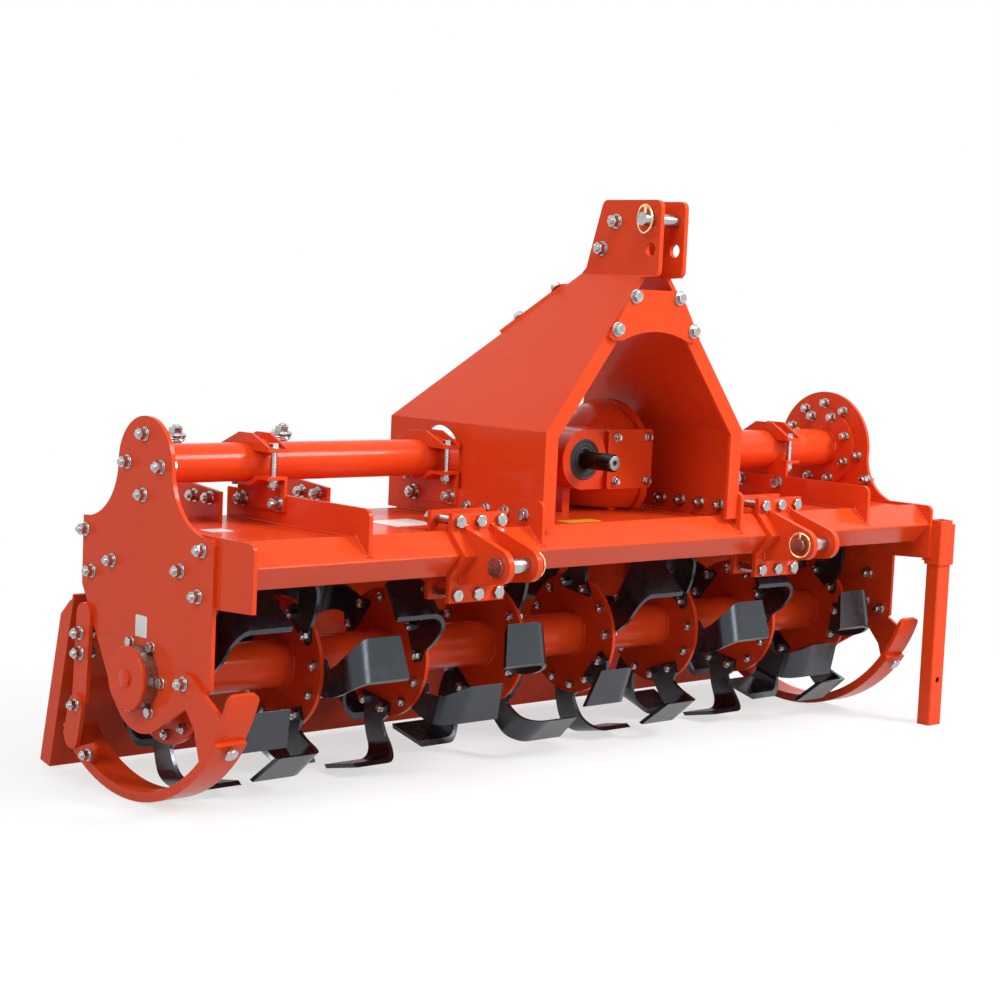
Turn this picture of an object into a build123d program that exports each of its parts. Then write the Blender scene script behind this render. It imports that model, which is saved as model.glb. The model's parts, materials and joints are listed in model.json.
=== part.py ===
from build123d import *
import math
import os

# Tractor-mounted rotary tiller: a three-point hitch mast over a gearbox, a side
# drive, and a rotor of L-shaped blades under a deck with a hinged rear board.
# Millimetres. X runs across the machine, -Y is the tractor's side, Z is up.
# It is drawn about the mast's centre plane and the rotor's axis, and moved at
# the end so that the origin is on the ground under the middle of its footprint.

# ---- rotor
TIP_RADIUS = 214.0        # blade tips, from the rotor's axis
GROUND_GAP = 7.0          # parked, between the lowest blade tip and the ground
FLANGE_RADIUS = 124.0
FLANGE_T = 8.0
FLANGE_COUNT = 8
END_FLANGE_GAP = 43.0     # from a side plate to the nearest rotor flange
FLANGE_TURN = 30.0        # each flange is turned on from the one before
FIRST_TURN = 69.0         # parked position of the first flange
BLADES_PER_FLANGE = 6
ROTOR_TUBE_R = 44.5
ROTOR_TUBE_WALL = 8.0
STUB_R = 30.0             # shaft end in its bearing
HUB_R = 76.0              # bolted hub at each end of the rotor tube
HUB_T = 12.0
HUB_GAP = 5.0             # between a hub and its bearing's flange
BLADE_T = 8.0
BLADE_REACH = 126.0       # sideways length of the L at its cutting edge
BLADE_SLANT = 14.0        # how much shorter the L is at its heel
BLADE_BEND_R = 40.0
BLADE_ROOT_R = 90.0       # inner end of the bolted root, from the rotor's axis
BLADE_SHOULDER_R = 116.0  # outer end of the root's full width
BLADE_NECK_R = 130.0      # where the shank starts to curve
BLADE_ROOT_W = 82.0
BLADE_NECK_W = 54.0
BLADE_LEAD = 46.0         # cutting edge of the L, ahead of its middle
BLADE_HEEL = 34.0         # rear edge of the L
BLADE_SWEEP = 20.0        # degrees by which the L trails behind the shank's root

# ---- side plates
LEFT_X = -939.0           # outer face of the left side plate
RIGHT_X = 907.0           # outer face of the right side plate
PLATE_T = 8.0
PLATE_FRONT_Y = -210.0
PLATE_REAR_Y = 201.0
SHOULDER_Z = 264.0
REAR_STEP_Z = 140.0       # where the rear edge turns in to the round foot
FRONT_STEP_Z = 10.0
LEFT_LOBE_R = 84.0
RIGHT_LOBE_R = 127.0
FOOT_R = 100.0

# ---- bearings of the rotor
BEARING_R = 56.0
BEARING_OUT = 36.0        # how far it stands out of the side plate
BEARING_FLANGE_R = 84.0
BEARING_FLANGE_T = 10.0
BEARING_CAP_T = 12.0

# ---- drive case on the right
CASE_RIM_T = 8.0
CASE_TOP_R = 118.0
CASE_FOOT_R = 92.0
CASE_INSET = 34.0         # from the rim's edge to the case's wall
CASE_DEPTH = 44.0
CASE_EDGE = 12.0
CASE_WALL = 6.0

# ---- upper cross tubes
TUBE_Y = 6.0
TUBE_Z = 372.0
LEFT_TUBE_R = 35.0
RIGHT_TUBE_R = 42.0
TUBE_WALL = 5.0
TUBE_FLANGE_R = 90.0
TUBE_FLANGE_T = 10.0
TUBE_SEAT_R = 66.0        # flange by which a tube is bolted to the gearbox
TUBE_SEAT_T = 10.0

# ---- front beam, a square tube set on its corner
BEAM_Y = -267.0
BEAM_Z = 226.0
BEAM_SIDE = 60.0
BEAM_WALL = 5.0
BEAM_CORNER_R = 3.0
BEAM_HALF = BEAM_SIDE / math.sqrt(2)

END_FRONT_Y = -312.0
END_REAR_Y = -140.0
END_TOP_Z = 268.0
END_FRONT_LOW_Z = 152.0
END_REAR_LOW_Z = 143.0
END_CORNER_R = 14.0

# ---- parking stand in its sleeve on the right end plate
STAND_W = 44.0
STAND_D = 34.0
STAND_WALL = 4.0
STAND_GAP = 0.5
SLEEVE_WALL = 4.0
SLEEVE_FRONT_Y = -337.0
SLEEVE_LOW_Z = 138.0
SLEEVE_TOP_Z = 228.0
STAND_RISE = 8.0          # how far the leg stands out above the sleeve
STAND_BOLT_Z = 180.0
STAND_BOLT_R = 6.0
STAND_BOLT_OUT = 14.0
STAND_NUT_R = 10.2
STAND_NUT_T = 6.0
STAND_HOLE_Z = -120.0

# ---- deck and its ribs
DECK_T = 5.0
DECK_Z = 262.0            # top face
DECK_BEND_Y = 118.0
DECK_TAIL_Y = 180.0
DECK_TAIL_Z = 142.0
RIB_T = 8.0
RIB_TOP_Z = 316.0
RIB_FRONT_Y = -303.0
RIB_REAR_Y = 118.0
RIB_CORNER_R = 16.0
OUTER_RIB_X = 681.0
INNER_RIB_X = 274.0

# ---- clamps that hold the cross tubes to the ribs
CLAMP_W = 44.0
CLAMP_T = 6.0
CLAMP_HALF_D = 72.0       # half its length, front to rear
CLAMP_SPLIT = 22.0        # from the tube's axis to each half's ear
CLAMP_LIP = 12.0
CLAMP_FOOT_Z = 286.0

# ---- mast
MAST_HALF = 270.0         # outer face of a cheek's upright part
MAST_T = 10.0
MAST_LOW_Z = 262.0
MAST_FRONT_Y = -294.0
MAST_REAR_Y = 154.0
MAST_BEND_Z = 442.0
EAR_GAP = 56.0
EAR_BEND_Z = 738.0
EAR_TOP_Z = 880.0
EAR_FRONT_Y = -335.0
EAR_REAR_LOW_Y = -142.0
EAR_REAR_TOP_Y = -182.0
EAR_CORNER_R = 14.0
FOLD_W = 32.0             # flange folded in along a cheek's front edge
FOLD_T = 8.0
FOLD_TOP_Z = EAR_BEND_Z - 32.0
TUBE_HOLE_R = 62.0
GUSSET_T = 8.0
GUSSET_H = 97.0
GUSSET_ARCH = 18.0
GUSSET_TOP_Z = EAR_BEND_Z - 27.0
GUSSET_LOW_Z = GUSSET_TOP_Z - GUSSET_H
TOP_PIN_Y = -312.0
TOP_PIN_Z = 843.0
TOP_PIN_R = 12.5
SECOND_HOLE_Z = 787.0
SECOND_HOLE_R = 12.8
TOP_PIN_HEAD_R = 17.0
TOP_PIN_OUT = 28.0

# ---- lower hitch brackets clamped round the beam
BRACKET_X = 414.0         # middle of the clevis
CLEVIS_GAP = 55.0
LUG_T = 13.0
LUG_NOSE_R = 31.0
LUG_TOP_Z = 276.0
LUG_LOW_Z = 170.0
LINK_PIN_Y = -380.0
LINK_PIN_Z = 214.0
LINK_PIN_R = 14.0
LINK_HEAD_R = 18.5
LINK_HEAD_T = 8.0
LINK_PIN_OUT = 14.0
BRACKET_W = 132.0
BRACKET_T = 10.0
BRACKET_FACE_Y = -282.0
BRACKET_TOP_Z = 299.0
BRACKET_LOW_Z = 137.0

# ---- gearbox and power take-off
PTO_Z = 372.0
PTO_FACE_Y = -126.0
PTO_LENGTH = 83.0
PTO_R = 17.5
PTO_CHAMFER = 3.0
PTO_SEAT_R = 20.0         # shaft inside its seal and bearing
PTO_SHOULDER = 1.0        # how far the thicker part stands out of the seal
PTO_BORE_DEPTH = 60.0
SEAL_R = 41.0
SEAL_T = 4.0
SEAL_FACE_Y = PTO_FACE_Y + 4.0
BOSS_R = 60.0
BOSS_OUT = 10.0           # how far the boss stands out of the front block
BELL_X = 166.0            # round housing of the crown wheel, about the cross shaft
BELL_Z = 352.0
BELL_R = 124.0
BELL_RIM_R = 133.0
BELL_RIM_T = 18.0
BELL_RIGHT_X = 192.0
NECK_LEFT_X = -128.0
NECK_R = 50.0
BELL_LOW_Z = 268.0        # flat underside
BLOCK_REAR_Y = -20.0
CASE_FOOT_X = (-8.0, 124.0)
CASE_FOOT_T = 20.0
GEAR_COVER_X0 = 63.0
GEAR_COVER_X1 = 190.0
GEAR_COVER_Z0 = 311.0
GEAR_COVER_Z1 = 431.0
GEAR_COVER_T = 12.0

# ---- trailing board and its hinge
HINGE_Y = 212.0
HINGE_Z = 128.0
HINGE_ROD_R = 7.0
HINGE_EYE_R = 13.0
HINGE_LUG_T = 8.0
HINGE_EYE_LENGTH = 70.0
HINGE_COUNT = 4
HINGE_INSET = 20.0        # from the deck's end to the first lug
HINGE_LUG_REACH = 35.0    # how far up the deck's tail a lug is welded
HINGE_CLEAR = 5.0         # between a lug and the board or its eye
BOARD_LEFT_X = -948.0
BOARD_RIGHT_X = 916.0
BOARD_T = 5.0
BOARD_BOTTOM_Y = 286.0
BOARD_GAP = 8.0           # from its lower edge to the ground
BOARD_FOLD = 30.0         # edges folded back at its two ends
BOARD_FOLD_START = 24.0   # from the hinge down to where the folds begin
BOARD_FOLD_FULL = 60.0    # and to where they are full width

# ---- spring rods between the deck and the board
ROD_R = 8.0
ROD_SPREAD = (-728.0, -484.0, 484.0, 728.0)   # from the middle of the deck
ROD_EYE_Y = 276.0
ROD_EYE_Z = -20.0
ROD_TOP_Y = 204.0
ROD_TOP_Z = 424.0
GUIDE_Z = 324.0           # top of the guide plate
GUIDE_T = 8.0
GUIDE_D = 64.0            # of the guide plate, front to rear
GUIDE_SLOT = 22.0         # half the length of the slot the rod swings in
GUIDE_PLAY = 3.0          # beside the rod in its slot
ROD_RIB_FRONT_Y = 30.0
SPRING_R = 20.0
SPRING_LIFT = 4.0         # from the guide plate to the spring's lower end
SPRING_PLAY = 2.0         # between the spring and its rod
WASHER_R = 21.0
WASHER_T = 5.0
NUT_R = 13.0
NUT_H = 14.0
ROD_END = 2.0             # thread that shows above the nut
EYE_PIN_R = 6.0
EYE_R = 14.0
EAR_R = 16.0
EAR_T = 6.0
EAR_PLAY = 4.0            # beside a rod's eye
EAR_ROOT = 40.0           # half the length of an ear's root on the board
RIB_BESIDE_ROD = 16.0      # from a rod's axis to the middle of its rib

# ---- skids
SKID_R = 330.0
SKID_Y = 25.0
SKID_BAR_T = 9.0          # the bow and the wear shoe under it
SKID_W = 62.0
BOW_FRONT_Z = 12.0
BOW_REAR_Z = -128.0
SHOE_FRONT_Z = -78.0
SHOE_REAR_Z = -140.0
BOW_TIP_R = 14.0
WEB_T = 8.0
SKID_BOLT = (-144.0, 12.0)     # through the side plate and the skid's web, as (y, z)
SHOE_BOLT = (139.0, -163.0)    # through the lug at the skid's rear
STAY_T = 8.0
STAY_W = 46.0
STAY_INSET = 16.0         # from the side plate's rear edge to the stay's middle
STAY_TOP_Z = 84.0
STAY_LOW_Z = -66.0
LINK_TOP_Z = -84.0
LINK_LOW_Z = -140.0

RUN_GAP = 0.05            # a pin or shaft in the bore it turns in
FREE_GAP = 1.0

AXLE_Z = TIP_RADIUS + GROUND_GAP
GROUND_Z = -AXLE_Z
MID_X = (LEFT_X + RIGHT_X) / 2
FLANGE_SPAN = RIGHT_X - LEFT_X - 2 * (PLATE_T + END_FLANGE_GAP) - FLANGE_T
FLANGE_PITCH = FLANGE_SPAN / (FLANGE_COUNT - 1)


def upright(sketch, x_low, thickness):
    """A sketch drawn in (y, z), stood up square to the X axis."""
    place = Plane(origin=(x_low, 0, 0), x_dir=(0, 1, 0), z_dir=(1, 0, 0))
    return extrude(place * sketch, thickness, dir=(1, 0, 0))


def facing(sketch, y_low, thickness):
    """A sketch drawn in (x, z), stood up square to the Y axis."""
    place = Plane(origin=(0, y_low + thickness, 0), x_dir=(1, 0, 0), z_dir=(0, -1, 0))
    return extrude(place * sketch, thickness, dir=(0, -1, 0))


def rod_x(x_low, x_high, y, z, radius):
    return Pos((x_low + x_high) / 2, y, z) * Rot(0, 90, 0) * Cylinder(radius, x_high - x_low)


def rod_y(y_low, y_high, x, z, radius):
    return Pos(x, (y_low + y_high) / 2, z) * Rot(90, 0, 0) * Cylinder(radius, y_high - y_low)


def block(x0, x1, y0, y1, z0, z1):
    return Pos((x0 + x1) / 2, (y0 + y1) / 2, (z0 + z1) / 2) * Box(x1 - x0, y1 - y0, z1 - z0)


def polygon(*points):
    return make_face(Polyline(*points, close=True))


def tangent_point(point, centre, radius, side):
    """Where a line from a point touches a circle; side is +1 or -1."""
    dx = centre[0] - point[0]
    dy = centre[1] - point[1]
    far = math.hypot(dx, dy)
    turn = math.atan2(dy, dx) + side * math.asin(radius / far)
    reach = math.sqrt(far * far - radius * radius)
    return (point[0] + reach * math.cos(turn), point[1] + reach * math.sin(turn))


def mirror_x(shape):
    return mirror(shape, Plane.YZ)


# ---------------------------------------------------------------- side plates
def side_outline(lobe_r):
    """Outline in (y, z): a round head on the tube, shoulders, a round foot."""
    rear_top = (TUBE_Y + lobe_r, TUBE_Z)
    front_top = (TUBE_Y - lobe_r, TUBE_Z)
    rear_foot = (PLATE_REAR_Y, SHOULDER_Z)
    front_foot = (PLATE_FRONT_Y + 8, SHOULDER_Z)
    waist_z = SHOULDER_Z + 0.36 * (TUBE_Z - SHOULDER_Z)
    waist_rear = (rear_top[0] + 0.22 * (rear_foot[0] - rear_top[0]), waist_z)
    waist_front = (front_top[0] + 0.22 * (front_foot[0] - front_top[0]), waist_z)
    front_low = (PLATE_FRONT_Y, FRONT_STEP_Z)
    rear_low = (PLATE_REAR_Y, REAR_STEP_Z)
    foot_front = tangent_point(front_low, (0, 0), FOOT_R, -1)
    foot_rear = tangent_point(rear_low, (0, 0), FOOT_R, 1)
    edges = [
        ThreePointArc(rear_top, (TUBE_Y, TUBE_Z + lobe_r), front_top),
        ThreePointArc(front_top, waist_front, front_foot),
        Line(front_foot, (PLATE_FRONT_Y, SHOULDER_Z - 10)),
        Line((PLATE_FRONT_Y, SHOULDER_Z - 10), front_low),
        Line(front_low, foot_front),
        ThreePointArc(foot_front, (0, -FOOT_R), foot_rear),
        Line(foot_rear, rear_low),
        Line(rear_low, rear_foot),
        ThreePointArc(rear_foot, waist_rear, rear_top),
    ]
    return make_face(edges)


def side_plates():
    hole = Circle(BEARING_R)
    left = upright(side_outline(LEFT_LOBE_R) - hole, LEFT_X, PLATE_T)
    right = upright(side_outline(RIGHT_LOBE_R) - hole, RIGHT_X - PLATE_T, PLATE_T)
    return left, right


def end_plate(x_low):
    outline = polygon(
        (END_REAR_Y, END_TOP_Z),
        (END_FRONT_Y, END_TOP_Z),
        (END_FRONT_Y, END_FRONT_LOW_Z),
        (END_REAR_Y, END_REAR_LOW_Z),
    )
    corner = outline.vertices().sort_by(Axis.X)[:2].sort_by(Axis.Y)[-1]
    return upright(fillet(corner, END_CORNER_R), x_low, PLATE_T)


# ---------------------------------------------------------------- front beam
def on_corner(side, corner_r=0.0):
    square = RectangleRounded(side, side, corner_r) if corner_r else Rectangle(side, side)
    return Pos(BEAM_Y, BEAM_Z) * Rot(0, 0, 45) * square


def front_beam():
    x0 = LEFT_X + 2 * PLATE_T
    x1 = RIGHT_X - 2 * PLATE_T
    return upright(on_corner(BEAM_SIDE, BEAM_CORNER_R) - on_corner(BEAM_SIDE - 2 * BEAM_WALL), x0, x1 - x0)


def beam_rear_y(z):
    """Rear face of the beam at a height between its middle and its top."""
    return BEAM_Y + BEAM_HALF - abs(z - BEAM_Z)


# ---------------------------------------------------------------- deck
def deck():
    x0 = LEFT_X + PLATE_T
    x1 = RIGHT_X - PLATE_T
    slope = math.atan2(DECK_Z - DECK_TAIL_Z, DECK_TAIL_Y - DECK_BEND_Y)
    sheet = polygon(
        (beam_rear_y(DECK_Z), DECK_Z),
        (DECK_BEND_Y, DECK_Z),
        (DECK_TAIL_Y, DECK_TAIL_Z),
        (DECK_TAIL_Y - DECK_T * math.sin(slope), DECK_TAIL_Z - DECK_T * math.cos(slope)),
        (DECK_BEND_Y - DECK_T * math.tan(slope / 2), DECK_Z - DECK_T),
        (beam_rear_y(DECK_Z - DECK_T), DECK_Z - DECK_T),
    )
    body = upright(sheet, x0, x1 - x0)
    for side in (-1, 1):
        mid = side * BRACKET_X
        half = BRACKET_W / 2 + 4
        body -= block(mid - half, mid + half, BEAM_Y, BACK_PLATE_Y + BRACKET_T + 4, DECK_Z - 20, DECK_Z + 5)
    for x in (x0, x1 - PLATE_T):
        body -= block(x, x + PLATE_T, BEAM_Y, END_REAR_Y, DECK_Z - 20, DECK_Z + 5)
    for x in hinge_places():
        body += deck_hinge_lug(x)
    return body


def hinge_places():
    """Left face of each lug that carries the hinge rod."""
    span = RIGHT_X - LEFT_X - 2 * PLATE_T - HINGE_LUG_T - HINGE_EYE_LENGTH - 2 * HINGE_INSET
    first = LEFT_X + PLATE_T + HINGE_INSET
    return [first + i * span / (HINGE_COUNT - 1) for i in range(HINGE_COUNT)]


def deck_hinge_lug(x):
    centre = (HINGE_Y, HINGE_Z)
    slope = math.atan2(DECK_Z - DECK_TAIL_Z, DECK_TAIL_Y - DECK_BEND_Y)
    top = (DECK_TAIL_Y - HINGE_LUG_REACH * math.cos(slope), DECK_TAIL_Z + HINGE_LUG_REACH * math.sin(slope))
    low = (DECK_TAIL_Y - DECK_T, DECK_TAIL_Z - DECK_T)
    outline = polygon(
        top,
        tangent_point(top, centre, HINGE_EYE_R, 1),
        centre,
        tangent_point(low, centre, HINGE_EYE_R, -1),
        low,
    )
    outline += Pos(*centre) * Circle(HINGE_EYE_R)
    return upright(outline - Pos(*centre) * Circle(HINGE_ROD_R), x, HINGE_LUG_T)


def deck_ribs():
    """Four upright ribs that tie the tube clamps to the front beam."""
    outline = polygon(
        (RIB_REAR_Y, DECK_Z),
        (RIB_REAR_Y, RIB_TOP_Z),
        (RIB_FRONT_Y, RIB_TOP_Z),
        (RIB_FRONT_Y, BEAM_Z - 5),
        (BEAM_Y, BEAM_Z - 5),
        (BEAM_Y, DECK_Z),
    )
    corner = outline.vertices().sort_by(Axis.X)[:2].sort_by(Axis.Y)[-1]
    outline = fillet(corner, RIB_CORNER_R) - on_corner(BEAM_SIDE, BEAM_CORNER_R)
    outline = outline.faces().sort_by(Axis.Y)[-1]
    middles = (-OUTER_RIB_X, -INNER_RIB_X, INNER_RIB_X, OUTER_RIB_X)
    return [upright(outline, x - RIB_T / 2, RIB_T) for x in middles]


# ---------------------------------------------------------------- cross tubes
def left_tube():
    x0 = LEFT_X + PLATE_T
    ring = Pos(TUBE_Y, TUBE_Z) * (Circle(LEFT_TUBE_R) - Circle(LEFT_TUBE_R - TUBE_WALL))
    seat = Pos(TUBE_Y, TUBE_Z) * (Circle(TUBE_SEAT_R) - Circle(LEFT_TUBE_R - TUBE_WALL))
    return upright(ring, x0, NECK_LEFT_X - x0) + upright(seat, NECK_LEFT_X - TUBE_SEAT_T, TUBE_SEAT_T)


def right_tube():
    ring = Pos(TUBE_Y, TUBE_Z) * (Circle(RIGHT_TUBE_R) - Circle(RIGHT_TUBE_R - TUBE_WALL))
    seat = Pos(TUBE_Y, TUBE_Z) * (Circle(TUBE_SEAT_R) - Circle(RIGHT_TUBE_R - TUBE_WALL))
    x1 = RIGHT_X - PLATE_T - TUBE_FLANGE_T
    return upright(ring, BELL_RIGHT_X, x1 - BELL_RIGHT_X) + upright(seat, BELL_RIGHT_X, TUBE_SEAT_T)


def tube_collar():
    ring = Pos(TUBE_Y, TUBE_Z) * (Circle(TUBE_FLANGE_R) - Circle(RIGHT_TUBE_R - TUBE_WALL))
    return upright(ring, RIGHT_X - PLATE_T - TUBE_FLANGE_T, TUBE_FLANGE_T)


def clamp_profile(tube_r, side):
    """Half of a clamp in (y, z) about the tube: a strip bent over it, with ears.

    side is +1 for the cap and -1 for the saddle.
    """
    crown = tube_r + CLAMP_T + 1
    knee = tube_r + 8
    outer = [
        (-CLAMP_HALF_D, CLAMP_SPLIT + CLAMP_T),
        (-knee, CLAMP_SPLIT + CLAMP_T),
        (-tube_r * 0.42, crown),
        (tube_r * 0.42, crown),
        (knee, CLAMP_SPLIT + CLAMP_T),
        (CLAMP_HALF_D, CLAMP_SPLIT + CLAMP_T),
        (CLAMP_HALF_D, CLAMP_SPLIT),
        (-CLAMP_HALF_D, CLAMP_SPLIT),
    ]
    sketch = polygon(*[(y, z * side) for y, z in outer]) - Circle(tube_r)
    return sketch


def clamp_cap(tube_r, x_low):
    sketch = Pos(TUBE_Y, TUBE_Z) * clamp_profile(tube_r, 1)
    body = upright(sketch, x_low, CLAMP_W)
    lip = Pos(TUBE_Y, TUBE_Z) * polygon(
        (-CLAMP_HALF_D, CLAMP_SPLIT),
        (-CLAMP_HALF_D, CLAMP_SPLIT + CLAMP_T + 2),
        (-tube_r * 0.55, tube_r + CLAMP_T + CLAMP_LIP),
        (tube_r * 0.55, tube_r + CLAMP_T + CLAMP_LIP),
        (CLAMP_HALF_D, CLAMP_SPLIT + CLAMP_T + 2),
        (CLAMP_HALF_D, CLAMP_SPLIT),
    ) - Pos(TUBE_Y, TUBE_Z) * Circle(tube_r)
    body += upright(lip, x_low, CLAMP_T)
    body += upright(lip, x_low + CLAMP_W - CLAMP_T, CLAMP_T)
    return body


def clamp_saddle(tube_r, x_low, rib_on_right):
    sketch = Pos(TUBE_Y, TUBE_Z) * clamp_profile(tube_r, -1)
    body = upright(sketch, x_low, CLAMP_W)
    foot = polygon(
        (TUBE_Y - CLAMP_HALF_D, TUBE_Z - CLAMP_SPLIT),
        (TUBE_Y + CLAMP_HALF_D, TUBE_Z - CLAMP_SPLIT),
        (TUBE_Y + CLAMP_HALF_D, CLAMP_FOOT_Z),
        (TUBE_Y - CLAMP_HALF_D, CLAMP_FOOT_Z),
    ) - Pos(TUBE_Y, TUBE_Z) * Circle(tube_r)
    foot_x = x_low + CLAMP_W - CLAMP_T if rib_on_right else x_low
    return body + upright(foot, foot_x, CLAMP_T)


def clamps():
    """(tube radius, low x, foot plate on the high-x side) for each clamp."""
    half = RIB_T / 2
    table = (
        (LEFT_TUBE_R, -OUTER_RIB_X - half - CLAMP_W, True),
        (LEFT_TUBE_R, -INNER_RIB_X - half - CLAMP_W, True),
        (RIGHT_TUBE_R, INNER_RIB_X + half, False),
        (RIGHT_TUBE_R, OUTER_RIB_X + half, False),
    )
    caps = [clamp_cap(r, x) for r, x, _ in table]
    saddles = [clamp_saddle(r, x, right) for r, x, right in table]
    return caps, saddles


# ---------------------------------------------------------------- mast
MAST_LEAN = math.atan2(MAST_HALF - EAR_GAP / 2 - MAST_T, EAR_BEND_Z - MAST_BEND_Z)


def mast_line(depth):
    """Corners (x, z) of a cheek seen from the front, at a depth under its outer face."""
    drop = depth * math.tan(MAST_LEAN / 2)
    ear_x = EAR_GAP / 2 + MAST_T - depth
    return [(MAST_HALF - depth, MAST_BEND_Z - drop), (ear_x, EAR_BEND_Z - drop)]


def cheek():
    """Right-hand cheek: one folded plate from the deck to the top-link ear."""
    outer = mast_line(0)
    inner = mast_line(MAST_T)
    strip = polygon(
        (MAST_HALF, MAST_LOW_Z),
        *outer,
        (outer[1][0], EAR_TOP_Z),
        (inner[1][0], EAR_TOP_Z),
        *reversed(inner),
        (MAST_HALF - MAST_T, MAST_LOW_Z),
    )
    folded = facing(strip, EAR_FRONT_Y, MAST_REAR_Y - EAR_FRONT_Y)
    profile = polygon(
        (MAST_FRONT_Y, MAST_LOW_Z),
        (MAST_FRONT_Y, EAR_BEND_Z - 4),
        (EAR_FRONT_Y, EAR_BEND_Z - 2),
        (EAR_FRONT_Y, EAR_TOP_Z),
        (EAR_REAR_TOP_Y, EAR_TOP_Z),
        (EAR_REAR_LOW_Y, EAR_BEND_Z + 12),
        (MAST_REAR_Y, MAST_BEND_Z),
        (MAST_REAR_Y, MAST_LOW_Z),
    )
    corners = profile.vertices()
    top = corners.sort_by(Axis.Y)[-2:]
    profile = fillet([*top, corners.sort_by(Axis.X)[:2].sort_by(Axis.Y)[0]], EAR_CORNER_R)
    profile -= on_corner(BEAM_SIDE, BEAM_CORNER_R)
    profile -= Pos(TUBE_Y, TUBE_Z) * Circle(TUBE_HOLE_R)
    profile -= Pos(TOP_PIN_Y, TOP_PIN_Z) * Circle(TOP_PIN_R)
    profile -= Pos(TOP_PIN_Y, SECOND_HOLE_Z) * Circle(SECOND_HOLE_R)
    body = folded & upright(profile, 0, MAST_HALF)
    return body + front_fold()


def front_fold():
    """Narrow flange folded inward along a cheek's front edge."""
    outer = mast_line(0)
    inner = mast_line(FOLD_W)
    slope = (outer[0][0] - outer[1][0]) / (outer[1][1] - outer[0][1])
    top_out = outer[0][0] - slope * (FOLD_TOP_Z - outer[0][1])
    top_in = inner[0][0] - slope * (FOLD_TOP_Z - inner[0][1])
    band = polygon(
        (MAST_HALF, MAST_LOW_Z),
        outer[0],
        (top_out, FOLD_TOP_Z),
        (top_in, FOLD_TOP_Z),
        inner[0],
        (MAST_HALF - FOLD_W, MAST_LOW_Z),
    )
    return facing(band, MAST_FRONT_Y, FOLD_T)


def mast_edge_x(z):
    """Outer face of the leaning part at a height."""
    return MAST_HALF - (z - MAST_BEND_Z) * math.tan(MAST_LEAN)


def front_gusset():
    top = mast_edge_x(GUSSET_TOP_Z) + 4
    low = mast_edge_x(GUSSET_LOW_Z) - 12
    arch_end = low - 34
    edges = [
        Line((-top, GUSSET_TOP_Z), (top, GUSSET_TOP_Z)),
        Line((top, GUSSET_TOP_Z), (low, GUSSET_LOW_Z + 6)),
        Line((low, GUSSET_LOW_Z + 6), (low - 10, GUSSET_LOW_Z)),
        Line((low - 10, GUSSET_LOW_Z), (arch_end, GUSSET_LOW_Z)),
        ThreePointArc((arch_end, GUSSET_LOW_Z), (0, GUSSET_LOW_Z + GUSSET_ARCH), (-arch_end, GUSSET_LOW_Z)),
        Line((-arch_end, GUSSET_LOW_Z), (10 - low, GUSSET_LOW_Z)),
        Line((10 - low, GUSSET_LOW_Z), (-low, GUSSET_LOW_Z + 6)),
        Line((-low, GUSSET_LOW_Z + 6), (-top, GUSSET_TOP_Z)),
    ]
    return facing(make_face(edges), MAST_FRONT_Y - GUSSET_T, GUSSET_T)


def rear_gusset():
    """Plate across the cheeks' sloping rear edges."""
    run = EAR_REAR_LOW_Y - MAST_REAR_Y
    rise = EAR_BEND_Z + 12 - MAST_BEND_Z
    slope = math.atan2(rise, run)
    top_z = GUSSET_TOP_Z
    low_z = GUSSET_LOW_Z
    reach = (top_z - low_z) / math.sin(slope)
    mid_z = (top_z + low_z) / 2
    mid_y = MAST_REAR_Y + (mid_z - MAST_BEND_Z) * run / rise
    half_top = mast_edge_x(top_z)
    half_low = mast_edge_x(low_z)
    outline = polygon(
        (-half_low, -reach / 2),
        (half_low, -reach / 2),
        (half_top, reach / 2),
        (-half_top, reach / 2),
    )
    place = Plane(origin=(0, mid_y, mid_z), x_dir=(1, 0, 0), z_dir=(0, -math.sin(slope), math.cos(slope)))
    return extrude(place * outline, -GUSSET_T if place.z_dir.Y < 0 else GUSSET_T)


def top_pin():
    ear = EAR_GAP / 2 + MAST_T
    pin = rod_x(-ear - TOP_PIN_OUT, ear, TOP_PIN_Y, TOP_PIN_Z, TOP_PIN_R)
    return pin + rod_x(ear, ear + 8, TOP_PIN_Y, TOP_PIN_Z, TOP_PIN_HEAD_R)


# ---------------------------------------------------------------- lower hitch
BACK_PLATE_Y = BEAM_Y + BEAM_HALF


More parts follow.
